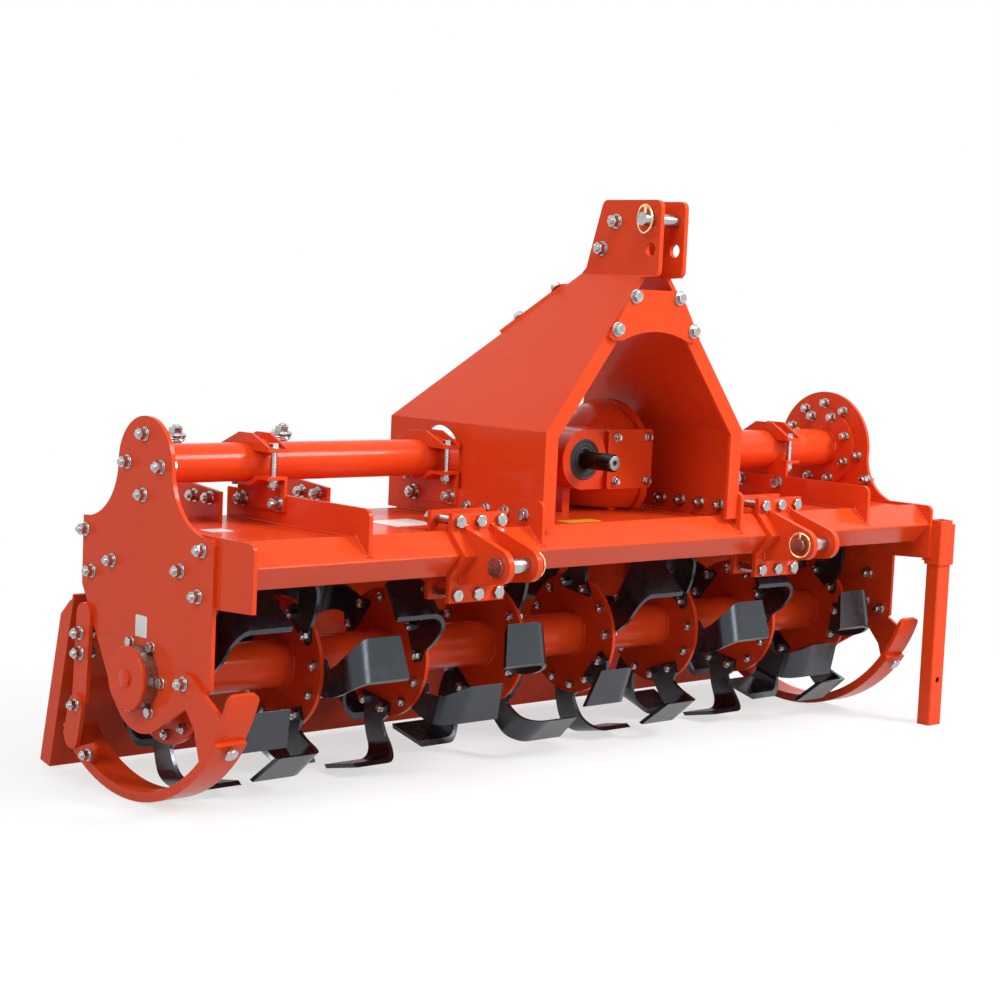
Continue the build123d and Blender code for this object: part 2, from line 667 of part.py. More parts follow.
def hitch_bracket():
    """Right-hand bracket: a plate folded round the beam's ridge, and two lugs."""
    inner_y = BRACKET_FACE_Y + BRACKET_T
    inner_step = BEAM_HALF - (BEAM_Y - inner_y)
    outer_half = BEAM_HALF + BRACKET_T * math.sqrt(2)
    outer_step = outer_half - (BEAM_Y - BRACKET_FACE_Y)
    strip = polygon(
        (BRACKET_FACE_Y, BRACKET_TOP_Z),
        (inner_y, BRACKET_TOP_Z),
        (inner_y, BEAM_Z + inner_step),
        (BEAM_Y - BEAM_HALF, BEAM_Z),
        (inner_y, BEAM_Z - inner_step),
        (inner_y, BRACKET_LOW_Z),
        (BRACKET_FACE_Y, BRACKET_LOW_Z),
        (BRACKET_FACE_Y, BEAM_Z - outer_step),
        (BEAM_Y - outer_half, BEAM_Z),
        (BRACKET_FACE_Y, BEAM_Z + outer_step),
    )
    body = upright(strip, BRACKET_X - BRACKET_W / 2, BRACKET_W)
    centre = (LINK_PIN_Y, LINK_PIN_Z)
    top = (BRACKET_FACE_Y, LUG_TOP_Z)
    low = (BRACKET_FACE_Y, LUG_LOW_Z)
    lug = polygon(
        top,
        tangent_point(top, centre, LUG_NOSE_R, -1),
        centre,
        tangent_point(low, centre, LUG_NOSE_R, 1),
        low,
    )
    lug += Pos(*centre) * Circle(LUG_NOSE_R)
    lug -= Pos(*centre) * Circle(LINK_PIN_R)
    lug -= polygon(
        (BRACKET_FACE_Y + 1, BEAM_Z + outer_step + 1),
        (BEAM_Y - outer_half, BEAM_Z),
        (BRACKET_FACE_Y + 1, BEAM_Z - outer_step - 1),
    )
    for x in (BRACKET_X - CLEVIS_GAP / 2 - LUG_T, BRACKET_X + CLEVIS_GAP / 2):
        body += upright(lug, x, LUG_T)
    return body


def back_plate():
    return block(
        BRACKET_X - BRACKET_W / 2, BRACKET_X + BRACKET_W / 2,
        BACK_PLATE_Y, BACK_PLATE_Y + BRACKET_T,
        BRACKET_LOW_Z, BRACKET_TOP_Z,
    )


def link_pin():
    outer = BRACKET_X + CLEVIS_GAP / 2 + LUG_T
    inner = BRACKET_X - CLEVIS_GAP / 2 - LUG_T
    pin = rod_x(inner - LINK_PIN_OUT, outer, LINK_PIN_Y, LINK_PIN_Z, LINK_PIN_R)
    return pin + rod_x(outer, outer + LINK_HEAD_T, LINK_PIN_Y, LINK_PIN_Z, LINK_HEAD_R)


# ---------------------------------------------------------------- gearbox
def gearbox_housing():
    """Bell round the crown wheel, a neck to the left tube, and a block with the input's boss."""
    bell = Pos(BELL_X, TUBE_Y, BELL_Z) * Sphere(BELL_R)
    bell -= block(BELL_RIGHT_X, BELL_X + BELL_R + 1, TUBE_Y - BELL_R, TUBE_Y + BELL_R, 0, 2 * BELL_Z)
    body = bell + rod_x(BELL_RIGHT_X - BELL_RIM_T, BELL_RIGHT_X, TUBE_Y, BELL_Z, BELL_RIM_R)
    body += rod_x(NECK_LEFT_X, BELL_X, TUBE_Y, TUBE_Z, NECK_R)
    body += rod_x(NECK_LEFT_X, NECK_LEFT_X + TUBE_SEAT_T, TUBE_Y, TUBE_Z, TUBE_SEAT_R)
    front = PTO_FACE_Y + GEAR_COVER_T
    milled = block(GEAR_COVER_X0, BELL_RIGHT_X + 1, front - BELL_R, front, GEAR_COVER_Z0 - BELL_R, GEAR_COVER_Z1)
    body -= milled
    block_x1 = GEAR_COVER_X1 - 4
    body += block(0, block_x1, front, BLOCK_REAR_Y, GEAR_COVER_Z0, GEAR_COVER_Z1)
    body += rod_y(front - BOSS_OUT, TUBE_Y, 0, PTO_Z, BOSS_R)
    reach = BELL_RIM_R + 1
    body -= block(NECK_LEFT_X, BELL_RIGHT_X + 1, TUBE_Y - reach, TUBE_Y + reach, 0, BELL_LOW_Z)
    foot_y = (front + 2 * CASE_FOOT_T, TUBE_Y - PTO_FACE_Y)
    for x in CASE_FOOT_X:
        body += block(x, x + CASE_FOOT_T, *foot_y, DECK_Z, TUBE_Z - NECK_R)
    body -= rod_y(PTO_FACE_Y - 1, PTO_FACE_Y + PTO_BORE_DEPTH, 0, PTO_Z, PTO_SEAT_R + RUN_GAP)
    body -= rod_y(PTO_FACE_Y - 1, SEAL_FACE_Y + SEAL_T, 0, PTO_Z, SEAL_R)
    return body


def gearbox_seal():
    disc = rod_y(SEAL_FACE_Y, SEAL_FACE_Y + SEAL_T, 0, PTO_Z, SEAL_R)
    return disc - rod_y(PTO_FACE_Y, SEAL_FACE_Y + 2 * SEAL_T, 0, PTO_Z, PTO_SEAT_R + RUN_GAP)


def gearbox_cover():
    cover = RectangleRounded(GEAR_COVER_X1 - GEAR_COVER_X0, GEAR_COVER_Z1 - GEAR_COVER_Z0, 8)
    cover = Pos((GEAR_COVER_X0 + GEAR_COVER_X1) / 2, (GEAR_COVER_Z0 + GEAR_COVER_Z1) / 2) * cover
    return facing(cover, PTO_FACE_Y, GEAR_COVER_T)


def input_shaft():
    front = PTO_FACE_Y - PTO_LENGTH
    end = rod_y(front, PTO_FACE_Y - PTO_SHOULDER, 0, PTO_Z, PTO_R)
    end = chamfer(end.edges().sort_by(Axis.Y)[0], PTO_CHAMFER)
    seat = rod_y(PTO_FACE_Y - PTO_SHOULDER, PTO_FACE_Y + PTO_BORE_DEPTH - FREE_GAP, 0, PTO_Z, PTO_SEAT_R)
    return end + seat


# ---------------------------------------------------------------- bearings and drive case
def left_bearing():
    outer = LEFT_X - BEARING_OUT
    inner = LEFT_X + PLATE_T + BEARING_FLANGE_T
    body = rod_x(outer, inner, 0, 0, BEARING_R)
    body += rod_x(LEFT_X + PLATE_T, inner, 0, 0, BEARING_FLANGE_R)
    return body - rod_x(outer + BEARING_CAP_T, inner + 1, 0, 0, STUB_R + RUN_GAP)


def right_bearing():
    inner = RIGHT_X - PLATE_T - BEARING_FLANGE_T
    body = rod_x(inner, RIGHT_X, 0, 0, BEARING_R)
    body += rod_x(inner, RIGHT_X - PLATE_T, 0, 0, BEARING_FLANGE_R)
    return body - rod_x(inner - 1, RIGHT_X + 1, 0, 0, STUB_R + RUN_GAP)


def case_outline(inset):
    """Slot-shaped outline in (y, z) round the tube's axis and the rotor's."""
    top = (TUBE_Y, TUBE_Z)
    lean = math.atan2(-TUBE_Y, TUBE_Z)
    r_top = CASE_TOP_R - inset
    r_foot = CASE_FOOT_R - inset
    length = math.hypot(*top)
    spread = math.acos((r_top - r_foot) / length)
    up = math.pi / 2 + lean

    def at(centre, radius, turn):
        return (centre[0] + radius * math.cos(up + turn), centre[1] + radius * math.sin(up + turn))

    edges = [
        ThreePointArc(at(top, r_top, -spread), at(top, r_top, 0), at(top, r_top, spread)),
        Line(at(top, r_top, spread), at((0, 0), r_foot, spread)),
        ThreePointArc(at((0, 0), r_foot, spread), at((0, 0), r_foot, math.pi), at((0, 0), r_foot, -spread)),
        Line(at((0, 0), r_foot, -spread), at(top, r_top, -spread)),
    ]
    return make_face(edges)


def drive_case():
    hollow = upright(case_outline(CASE_INSET + CASE_WALL), RIGHT_X, CASE_RIM_T + CASE_DEPTH - CASE_WALL)
    rim = upright(case_outline(0), RIGHT_X, CASE_RIM_T)
    shoulder_x = RIGHT_X + CASE_RIM_T + CASE_DEPTH - CASE_EDGE
    shell = upright(case_outline(CASE_INSET), RIGHT_X + CASE_RIM_T, shoulder_x - RIGHT_X - CASE_RIM_T)
    crown = extrude(shell.faces().sort_by(Axis.X)[-1], CASE_EDGE, taper=45)
    return rim + shell + crown - hollow


# ---------------------------------------------------------------- rotor
def flange_places():
    first = MID_X - FLANGE_PITCH * (FLANGE_COUNT - 1) / 2 - FLANGE_T / 2
    return [first + i * FLANGE_PITCH for i in range(FLANGE_COUNT)]


def hub_places():
    """Outer faces of the hubs at the left and right ends of the rotor tube."""
    gap = BEARING_FLANGE_T + HUB_GAP
    return LEFT_X + PLATE_T + gap, RIGHT_X - PLATE_T - gap


def rotor_tube():
    left, right = hub_places()
    ring = Circle(ROTOR_TUBE_R) - Circle(ROTOR_TUBE_R - ROTOR_TUBE_WALL)
    tube = upright(ring, left + HUB_T, right - left - 2 * HUB_T)
    stub_left = rod_x(LEFT_X - BEARING_OUT + BEARING_CAP_T + FREE_GAP, left, 0, 0, STUB_R)
    stub_right = rod_x(right, RIGHT_X - FREE_GAP, 0, 0, STUB_R)
    hubs = rod_x(left, left + HUB_T, 0, 0, HUB_R) + rod_x(right - HUB_T, right, 0, 0, HUB_R)
    return tube + hubs + stub_left + stub_right


def rotor_flanges():
    ring = Circle(FLANGE_RADIUS) - Circle(ROTOR_TUBE_R)
    return [upright(ring, x, FLANGE_T) for x in flange_places()]


def blade():
    """A blade bent to +X, pointing up, its shank's left face on X = 0; it cuts towards -Y."""
    crown = math.sqrt(TIP_RADIUS ** 2 - BLADE_LEAD ** 2)
    bend_in = BLADE_BEND_R - BLADE_T
    corner = crown - BLADE_BEND_R
    half = math.sqrt(0.5)
    outer_mid = (BLADE_BEND_R * (1 - half), corner + BLADE_BEND_R * half)
    bar = make_face([
        Line((0, 0), (0, corner)),
        ThreePointArc((0, corner), outer_mid, (BLADE_BEND_R, crown)),
        Line((BLADE_BEND_R, crown), (BLADE_REACH, crown)),
        Line((BLADE_REACH, crown), (BLADE_REACH, crown - BLADE_T)),
        Line((BLADE_REACH, crown - BLADE_T), (BLADE_BEND_R, crown - BLADE_T)),
        ThreePointArc(
            (BLADE_BEND_R, crown - BLADE_T),
            (BLADE_BEND_R - bend_in * half, corner + bend_in * half),
            (BLADE_T, corner),
        ),
        Line((BLADE_T, corner), (BLADE_T, 0)),
        Line((BLADE_T, 0), (0, 0)),
    ])
    folded = facing(bar, -BLADE_NECK_R, 2 * BLADE_NECK_R)

    sweep = math.radians(BLADE_SWEEP)

    def beside(radius, across):
        """A point (y, z) on the shank, at a distance beside its middle line."""
        return (
            across * math.cos(sweep) - radius * math.sin(sweep),
            across * math.sin(sweep) + radius * math.cos(sweep),
        )

    lead = (-BLADE_LEAD, crown + 1)
    heel = (BLADE_HEEL, crown + 1)
    half_root = BLADE_ROOT_W / 2
    half_neck = BLADE_NECK_W / 2
    front_neck = beside(BLADE_NECK_R - half_neck / 2, -half_neck)
    rear_neck = beside(BLADE_NECK_R, half_neck)
    front_mid = (min(front_neck[0], lead[0]) - 2, (front_neck[1] + lead[1]) / 2)
    rear_mid = ((rear_neck[0] + heel[0]) / 2 - 9, (rear_neck[1] + heel[1]) / 2 + 5)
    outline = make_face([
        Line(beside(BLADE_ROOT_R, -half_root), beside(BLADE_SHOULDER_R - half_neck / 2, -half_root)),
        Line(beside(BLADE_SHOULDER_R - half_neck / 2, -half_root), front_neck),
        ThreePointArc(front_neck, front_mid, lead),
        Line(lead, heel),
        ThreePointArc(heel, rear_mid, rear_neck),
        Line(rear_neck, beside(BLADE_SHOULDER_R, half_root)),
        Line(beside(BLADE_SHOULDER_R, half_root), beside(BLADE_ROOT_R, half_root)),
        Line(beside(BLADE_ROOT_R, half_root), beside(BLADE_ROOT_R, -half_root)),
    ])
    slanted = polygon(
        (-1, -BLADE_NECK_R),
        (BLADE_REACH + BLADE_SLANT, -BLADE_NECK_R),
        (BLADE_REACH, -BLADE_LEAD),
        (BLADE_REACH - BLADE_SLANT, BLADE_HEEL),
        (BLADE_REACH - 2 * BLADE_SLANT, BLADE_NECK_R),
        (-1, BLADE_NECK_R),
    )
    bent = folded & upright(outline, -1, BLADE_REACH + 2) & extrude(slanted, TIP_RADIUS + 1)
    return Rot(-BLADE_SWEEP, 0, 0) * bent


def rotor_blades():
    """Blades bent to the right and to the left, as two lists."""
    right_bent = blade()
    left_bent = mirror_x(right_bent)
    to_right = []
    to_left = []
    for i, x in enumerate(flange_places()):
        for k in range(BLADES_PER_FLANGE):
            turn = Rot(FIRST_TURN + i * FLANGE_TURN + k * 360 / BLADES_PER_FLANGE, 0, 0)
            bends_right = k % 2 == 0
            if i == 0:
                bends_right = True
            if i == FLANGE_COUNT - 1:
                bends_right = False
            if bends_right:
                to_right.append(Pos(x + FLANGE_T, 0, 0) * turn * right_bent)
            else:
                to_left.append(Pos(x, 0, 0) * turn * left_bent)
    return to_right, to_left


# ---------------------------------------------------------------- stand
def stand_sleeve():
    x0 = RIGHT_X - PLATE_T
    inner_w = STAND_W + 2 * STAND_GAP
    inner_d = STAND_D + 2 * STAND_GAP
    y0 = SLEEVE_FRONT_Y
    x1 = x0 + inner_w + 2 * SLEEVE_WALL
    y1 = y0 + inner_d + 2 * SLEEVE_WALL
    outer = block(x0, x1, y0, y1, SLEEVE_LOW_Z, SLEEVE_TOP_Z)
    outer = fillet(outer.edges().filter_by(Axis.Z), SLEEVE_WALL)
    return outer - block(
        x0 + SLEEVE_WALL, x0 + SLEEVE_WALL + inner_w,
        y0 + SLEEVE_WALL, y0 + SLEEVE_WALL + inner_d,
        SLEEVE_LOW_Z - 1, SLEEVE_TOP_Z + 1,
    )


def stand_leg():
    x0 = RIGHT_X - PLATE_T + SLEEVE_WALL + STAND_GAP
    y0 = SLEEVE_FRONT_Y + SLEEVE_WALL + STAND_GAP
    top_z = SLEEVE_TOP_Z + STAND_RISE
    tube = block(x0, x0 + STAND_W, y0, y0 + STAND_D, GROUND_Z, top_z)
    tube = fillet(tube.edges().filter_by(Axis.Z), STAND_WALL)
    wall = STAND_WALL
    tube -= block(x0 + wall, x0 + STAND_W - wall, y0 + wall, y0 + STAND_D - wall, GROUND_Z - 1, top_z + 1)
    mid_y = y0 + STAND_D / 2
    mid_x = x0 + STAND_W / 2
    return tube - rod_y(y0 - 1, mid_y, mid_x, STAND_HOLE_Z, STAND_BOLT_R + 0.5)


def stand_bolt():
    """Locking bolt screwed into the sleeve's outer wall."""
    x = RIGHT_X - PLATE_T + 2 * SLEEVE_WALL + 2 * STAND_GAP + STAND_W
    y = SLEEVE_FRONT_Y + SLEEVE_WALL + STAND_GAP + STAND_D / 2
    nut = rod_x(x, x + STAND_NUT_T, y, STAND_BOLT_Z, STAND_NUT_R)
    return nut + rod_x(x + STAND_NUT_T, x + STAND_BOLT_OUT, y, STAND_BOLT_Z, STAND_BOLT_R)


# ---------------------------------------------------------------- trailing board
def board_line():
    """Unit vector down the board, in (y, z), and the board's length."""
    dy = BOARD_BOTTOM_Y - HINGE_Y
    dz = GROUND_Z + BOARD_GAP - HINGE_Z
    length = math.hypot(dy, dz)
    return dy / length, dz / length, length


def along_board(down, out):
    """A point (y, z) at a distance down the board and out behind its middle."""
    uy, uz, _ = board_line()
    return (HINGE_Y + uy * down - uz * out, HINGE_Z + uz * down + uy * out)


def trailing_board():
    _, _, length = board_line()
    half = BOARD_T / 2
    sheet = polygon(
        along_board(HINGE_EYE_R - 2, half),
        along_board(length, half),
        along_board(length, -half),
        along_board(HINGE_EYE_R - 2, -half),
    )
    width = BOARD_RIGHT_X - BOARD_LEFT_X
    body = upright(sheet, BOARD_LEFT_X, width)
    fold = polygon(
        along_board(BOARD_FOLD_START, -half),
        along_board(BOARD_FOLD_START, half + BOARD_T),
        along_board(BOARD_FOLD_FULL, half + BOARD_FOLD),
        along_board(length, half + BOARD_FOLD),
        along_board(length, -half),
    )
    body += upright(fold, BOARD_LEFT_X, BOARD_T)
    body += upright(fold, BOARD_RIGHT_X - BOARD_T, BOARD_T)
    for x in hinge_places():
        x1 = x + HINGE_LUG_T + HINGE_CLEAR
        body -= rod_x(x - HINGE_CLEAR, x1, HINGE_Y, HINGE_Z, HINGE_EYE_R + HINGE_CLEAR)
    return body


def board_lugs():
    """Eyes that turn on the hinge rod, and pairs of ears for the spring rods' eyes."""
    eye = Pos(HINGE_Y, HINGE_Z) * (Circle(HINGE_EYE_R) - Circle(HINGE_ROD_R + RUN_GAP))
    eye -= polygon(
        along_board(HINGE_EYE_R - 2, BOARD_T / 2),
        along_board(HINGE_EYE_R + 2, BOARD_T / 2),
        along_board(HINGE_EYE_R + 2, -BOARD_T / 2),
        along_board(HINGE_EYE_R - 2, -BOARD_T / 2),
    )
    lugs = [upright(eye, x + HINGE_LUG_T + HINGE_CLEAR, HINGE_EYE_LENGTH) for x in hinge_places()]
    ear = rod_ear()
    for x in rod_places():
        for x_low in (x - ROD_R - EAR_PLAY - EAR_T, x + ROD_R + EAR_PLAY):
            lugs.append(upright(ear, x_low, EAR_T))
    return lugs


def rod_ear():
    """Ear on the back of the board that holds a spring rod's eye, in (y, z)."""
    uy, uz, _ = board_line()
    down = (ROD_EYE_Y - HINGE_Y) * uy + (ROD_EYE_Z - HINGE_Z) * uz
    root = [along_board(down - EAR_ROOT, BOARD_T / 2), along_board(down + EAR_ROOT, BOARD_T / 2)]
    centre = (ROD_EYE_Y, ROD_EYE_Z)
    outline = polygon(
        root[0],
        tangent_point(root[0], centre, EAR_R, 1),
        centre,
        tangent_point(root[1], centre, EAR_R, -1),
        root[1],
    )
    return outline + Pos(*centre) * Circle(EAR_R) - Pos(*centre) * Circle(EYE_PIN_R)


def rod_places():
    return [MID_X + x for x in ROD_SPREAD]


def hinge_rod():
    places = hinge_places()
    return rod_x(places[0] - 6, places[-1] + HINGE_LUG_T + HINGE_EYE_LENGTH, HINGE_Y, HINGE_Z, HINGE_ROD_R)


ROD_LEAN = math.atan2(ROD_EYE_Y - ROD_TOP_Y, ROD_TOP_Z - ROD_EYE_Z)
ROD_LENGTH = math.hypot(ROD_EYE_Y - ROD_TOP_Y, ROD_TOP_Z - ROD_EYE_Z)
SPRING_TOP = ROD_LENGTH - ROD_END - NUT_H - WASHER_T


def on_rod(x):
    """Plane at a rod's eye, with its local Z up the rod."""
    up = (0, -math.sin(ROD_LEAN), math.cos(ROD_LEAN))
    return Plane(origin=(x, ROD_EYE_Y, ROD_EYE_Z), x_dir=(1, 0, 0), z_dir=up)


def spring_rods():
    rods = []
    for x in rod_places():
        place = on_rod(x)
        body = place * (Pos(0, 0, ROD_LENGTH / 2) * Cylinder(ROD_R, ROD_LENGTH))
        half_eye = ROD_R + EAR_PLAY - FREE_GAP
        body += rod_x(x - half_eye, x + half_eye, ROD_EYE_Y, ROD_EYE_Z, EYE_R)
        body += place * (Pos(0, 0, SPRING_TOP) * extrude(RegularPolygon(WASHER_R, 12), WASHER_T))
        body += place * (Pos(0, 0, SPRING_TOP + WASHER_T) * extrude(RegularPolygon(NUT_R, 6), NUT_H))
        body -= rod_x(x - 2 * EYE_R, x + 2 * EYE_R, ROD_EYE_Y, ROD_EYE_Z, EYE_PIN_R + RUN_GAP)
        rods.append(body)
    return rods


def eye_pins():
    reach = ROD_R + EAR_PLAY + EAR_T + EYE_PIN_R / 2
    return [rod_x(x - reach, x + reach, ROD_EYE_Y, ROD_EYE_Z, EYE_PIN_R) for x in rod_places()]


def rod_brackets():
    """Upright plate and guide shelf behind the deck for each spring rod."""
    shelf_y = ROD_EYE_Y - (GUIDE_Z - ROD_EYE_Z) * math.tan(ROD_LEAN)
    rear_y = shelf_y + GUIDE_D / 2
    depth = GUIDE_Z - RIB_TOP_Z + 3 * GUIDE_T
    outline = polygon(
        (ROD_RIB_FRONT_Y, DECK_Z),
        (ROD_RIB_FRONT_Y, RIB_TOP_Z),
        (DECK_BEND_Y, GUIDE_Z),
        (rear_y, GUIDE_Z),
        (rear_y, GUIDE_Z - depth),
        (DECK_BEND_Y + 2 * GUIDE_T, DECK_Z - depth),
        (DECK_BEND_Y, DECK_Z),
    )
    items = []
    for x in rod_places():
        side = -1 if x < MID_X else 1
        x_low = x - RIB_T / 2 + side * RIB_BESIDE_ROD
        body = upright(outline, x_low, RIB_T)
        body -= block(x - GUIDE_D, x + GUIDE_D, DECK_BEND_Y, rear_y + 1, GROUND_Z, DECK_Z - 2)
        far = x - side * GUIDE_D / 2
        shelf_x = (min(x_low, far), max(x_low + RIB_T, far))
        shelf = block(*shelf_x, shelf_y - GUIDE_D / 2, rear_y, GUIDE_Z - GUIDE_T, GUIDE_Z)
        half_w = ROD_R + GUIDE_PLAY
        slot_y = (shelf_y - GUIDE_SLOT, shelf_y + GUIDE_SLOT)
        slot = block(x - half_w, x + half_w, *slot_y, GUIDE_Z - 2 * GUIDE_T, GUIDE_Z + 1)
        items.append(body + shelf - slot)
    return items


def rod_springs():
    """Spring round each rod, between the washer and the guide shelf, as rings."""
    seat = (GUIDE_Z - ROD_EYE_Z) / math.cos(ROD_LEAN) + SPRING_LIFT
    top = SPRING_TOP
    height = top - seat
    sleeve = Cylinder(SPRING_R, height) - Cylinder(ROD_R + SPRING_PLAY, height)
    sleeve = Pos(0, 0, seat + height / 2) * sleeve
    return [on_rod(x) * sleeve for x in rod_places()]


# ---------------------------------------------------------------- skids
def on_bow(depth, z, side):
    """A point (y, z) at a depth inside the skid's outer circle, in front (-1) or behind (+1)."""
    centre_z = GROUND_Z + SKID_R
    return (SKID_Y + side * math.sqrt((SKID_R - depth) ** 2 - (z - centre_z) ** 2), z)


def bow_strip(depth, thickness, front_z, rear_z):
    """Cross-section (y, z) of a bar bent along the skid, cut square at its ends."""
    centre = (SKID_Y, GROUND_Z + SKID_R)
    ring = Pos(*centre) * (Circle(SKID_R - depth) - Circle(SKID_R - depth - thickness))
    front = on_bow(depth, front_z, -1)
    rear = on_bow(depth, rear_z, 1)
    wedge = polygon(
        centre,
        (2 * front[0] - centre[0], 2 * front[1] - centre[1]),
        (-2 * SKID_R, 2 * GROUND_Z - SKID_R),
        (2 * SKID_R, 2 * GROUND_Z - SKID_R),
        (2 * rear[0] - centre[0], 2 * rear[1] - centre[1]),
    )
    return ring & wedge


def left_skid():
    """Bent bow with a web at its front and a lug at its rear, both on its outer edge."""
    x0 = LEFT_X - WEB_T
    bow = upright(bow_strip(SKID_BAR_T, SKID_BAR_T, BOW_FRONT_Z, BOW_REAR_Z), x0, SKID_W)
    tip = bow.edges().filter_by(lambda e: abs(e.length - SKID_BAR_T) < 0.01).sort_by(Axis.Z)[-2:]
    bow = fillet(tip, BOW_TIP_R)
    inside = 2 * SKID_BAR_T
    by, bz = SKID_BOLT
    web = polygon(
        (by - 19, bz + 16),
        (by + 3, bz + 18),
        (by + 18, bz + 2),
        (by + 12, bz - 20),
        on_bow(inside + 48, bz - 72, -1),
        on_bow(inside, bz - 124, -1),
        on_bow(inside - 3, bz - 97, -1),
        on_bow(inside - 3, bz - 67, -1),
        on_bow(inside, bz - 40, -1),
        on_bow(inside + 68, bz - 6, -1),
    )
    ly, lz = SHOE_BOLT
    lug = polygon(
        on_bow(inside, lz - 17, 1),
        (ly - 17, lz + 13),
        (ly - 1, lz + 21),
        (ly + 17, lz + 15),
        (ly + 47, lz + 5),
        on_bow(inside, lz + 13, 1),
        on_bow(inside - 3, lz - 2, 1),
    )
    keep = Pos(SKID_Y, GROUND_Z + SKID_R) * Circle(SKID_R - inside + 1)
    return bow + upright(web & keep, x0, WEB_T) + upright(lug & keep, x0, WEB_T)


def left_shoe():
    return upright(bow_strip(0, SKID_BAR_T, SHOE_FRONT_Z, SHOE_REAR_Z), LEFT_X - WEB_T, SKID_W)


def strap(top, foot):
    """A flat bar with round ends between two points (y, z)."""
    half = STAY_W / 2
    turn = math.atan2(foot[1] - top[1], foot[0] - top[0])
    side = (-half * math.sin(turn), half * math.cos(turn))
    bar = polygon(
        (top[0] + side[0], top[1] + side[1]),
        (foot[0] + side[0], foot[1] + side[1]),
        (foot[0] - side[0], foot[1] - side[1]),
        (top[0] - side[0], top[1] - side[1]),
    )
    return bar + Pos(*top) * Circle(half) + Pos(*foot) * Circle(half)


def left_stays():
    """Fixed stay on the side plate, and the link under it that carries the skid's rear end."""
    y = PLATE_REAR_Y - STAY_INSET
    stay = upright(strap((y - RIB_T / 2, STAY_TOP_Z), (y + RIB_T / 2, STAY_LOW_Z)), LEFT_X - STAY_T, STAY_T)
    link_foot = (PLATE_REAR_Y, LINK_LOW_Z)
    link = upright(strap((y + RIB_T / 2, LINK_TOP_Z), link_foot), LEFT_X - 2 * STAY_T, STAY_T)
    return [stay, link]


# ---------------------------------------------------------------- assembly
def build():
    plate_left, plate_right = side_plates()
    caps, saddles = clamps()
    to_right, to_left = rotor_blades()
    skid = left_skid()
    shoe = left_shoe()
    stays = left_stays()
    to_other_side = Pos(RIGHT_X + LEFT_X, 0, 0)
    right_cheek = cheek()
    return {
        "side_plate_left": plate_left,
        "side_plate_right": plate_right,
        "end_plates": [end_plate(LEFT_X + PLATE_T), end_plate(RIGHT_X - 2 * PLATE_T)],
        "front_beam": front_beam(),
        "deck": deck(),
        "deck_ribs": deck_ribs(),
        "cross_tube_left": left_tube(),
        "cross_tube_right": right_tube(),
        "tube_collar_right": tube_collar(),
        "clamp_caps": caps,
        "clamp_saddles": saddles,
        "mast_cheek_left": mirror_x(right_cheek),
        "mast_cheek_right": right_cheek,
        "mast_gusset_front": front_gusset(),
        "mast_gusset_rear": rear_gusset(),
        "top_link_pin": top_pin(),
        "hitch_bracket_left": mirror_x(hitch_bracket()),
        "hitch_bracket_right": hitch_bracket(),
        "hitch_back_plates": [mirror_x(back_plate()), back_plate()],
        "hitch_pin_left": mirror_x(link_pin()),
        "hitch_pin_right": link_pin(),
        "gearbox_housing": gearbox_housing(),
        "gearbox_cover": gearbox_cover(),
        "gearbox_seal": gearbox_seal(),
        "input_shaft": input_shaft(),
        "drive_case": drive_case(),
        "bearing_left": left_bearing(),
        "bearing_right": right_bearing(),
        "rotor_tube": rotor_tube(),
        "rotor_flanges": rotor_flanges(),
        "blades_right_bent": to_right,
        "blades_left_bent": to_left,
        "skid_left": skid,
        "skid_right": to_other_side * mirror_x(skid),
        "skid_shoes": [shoe, to_other_side * mirror_x(shoe)],
        "skid_stays": stays + [to_other_side * mirror_x(stay) for stay in stays],
        "stand_sleeve": stand_sleeve(),
        "stand_leg": stand_leg(),
        "stand_bolt": stand_bolt(),
        "trailing_board": trailing_board(),
        "board_lugs": board_lugs(),
        "hinge_rod": hinge_rod(),
        "rod_brackets": rod_brackets(),
        "spring_rods": spring_rods(),
        "rod_springs": rod_springs(),
        "rod_eye_pins": eye_pins(),
    }


def as_shape(item):
    if isinstance(item, (list, tuple)):
        return Compound(children=[s.moved(Location()) for one in item for s in one.solids()])
    solids = item.solids()
    return solids[0] if len(solids) == 1 else Compound(children=list(solids))


def footprint(shapes):
    """Middle of the whole machine's box, in x and y."""
    boxes = [shape.bounding_box() for shape in shapes]
    x = (min(b.min.X for b in boxes) + max(b.max.X for b in boxes)) / 2
    y = (min(b.min.Y for b in boxes) + max(b.max.Y for b in boxes)) / 2
    return x, y


parts = {name: as_shape(item) for name, item in build().items()}
mid_x, mid_y = footprint(parts.values())
shift = Location((-mid_x, -mid_y, AXLE_Z))

if __name__ == "__main__":
    os.makedirs("parts", exist_ok=True)
    for name, shape in parts.items():
        export_step(shape.moved(shift), f"parts/{name}.step")
    print("shift", round(-mid_x, 3), round(-mid_y, 3), round(AXLE_Z, 3))
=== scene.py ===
import bpy
import bmesh
import json
import math
from mathutils import Matrix, Vector


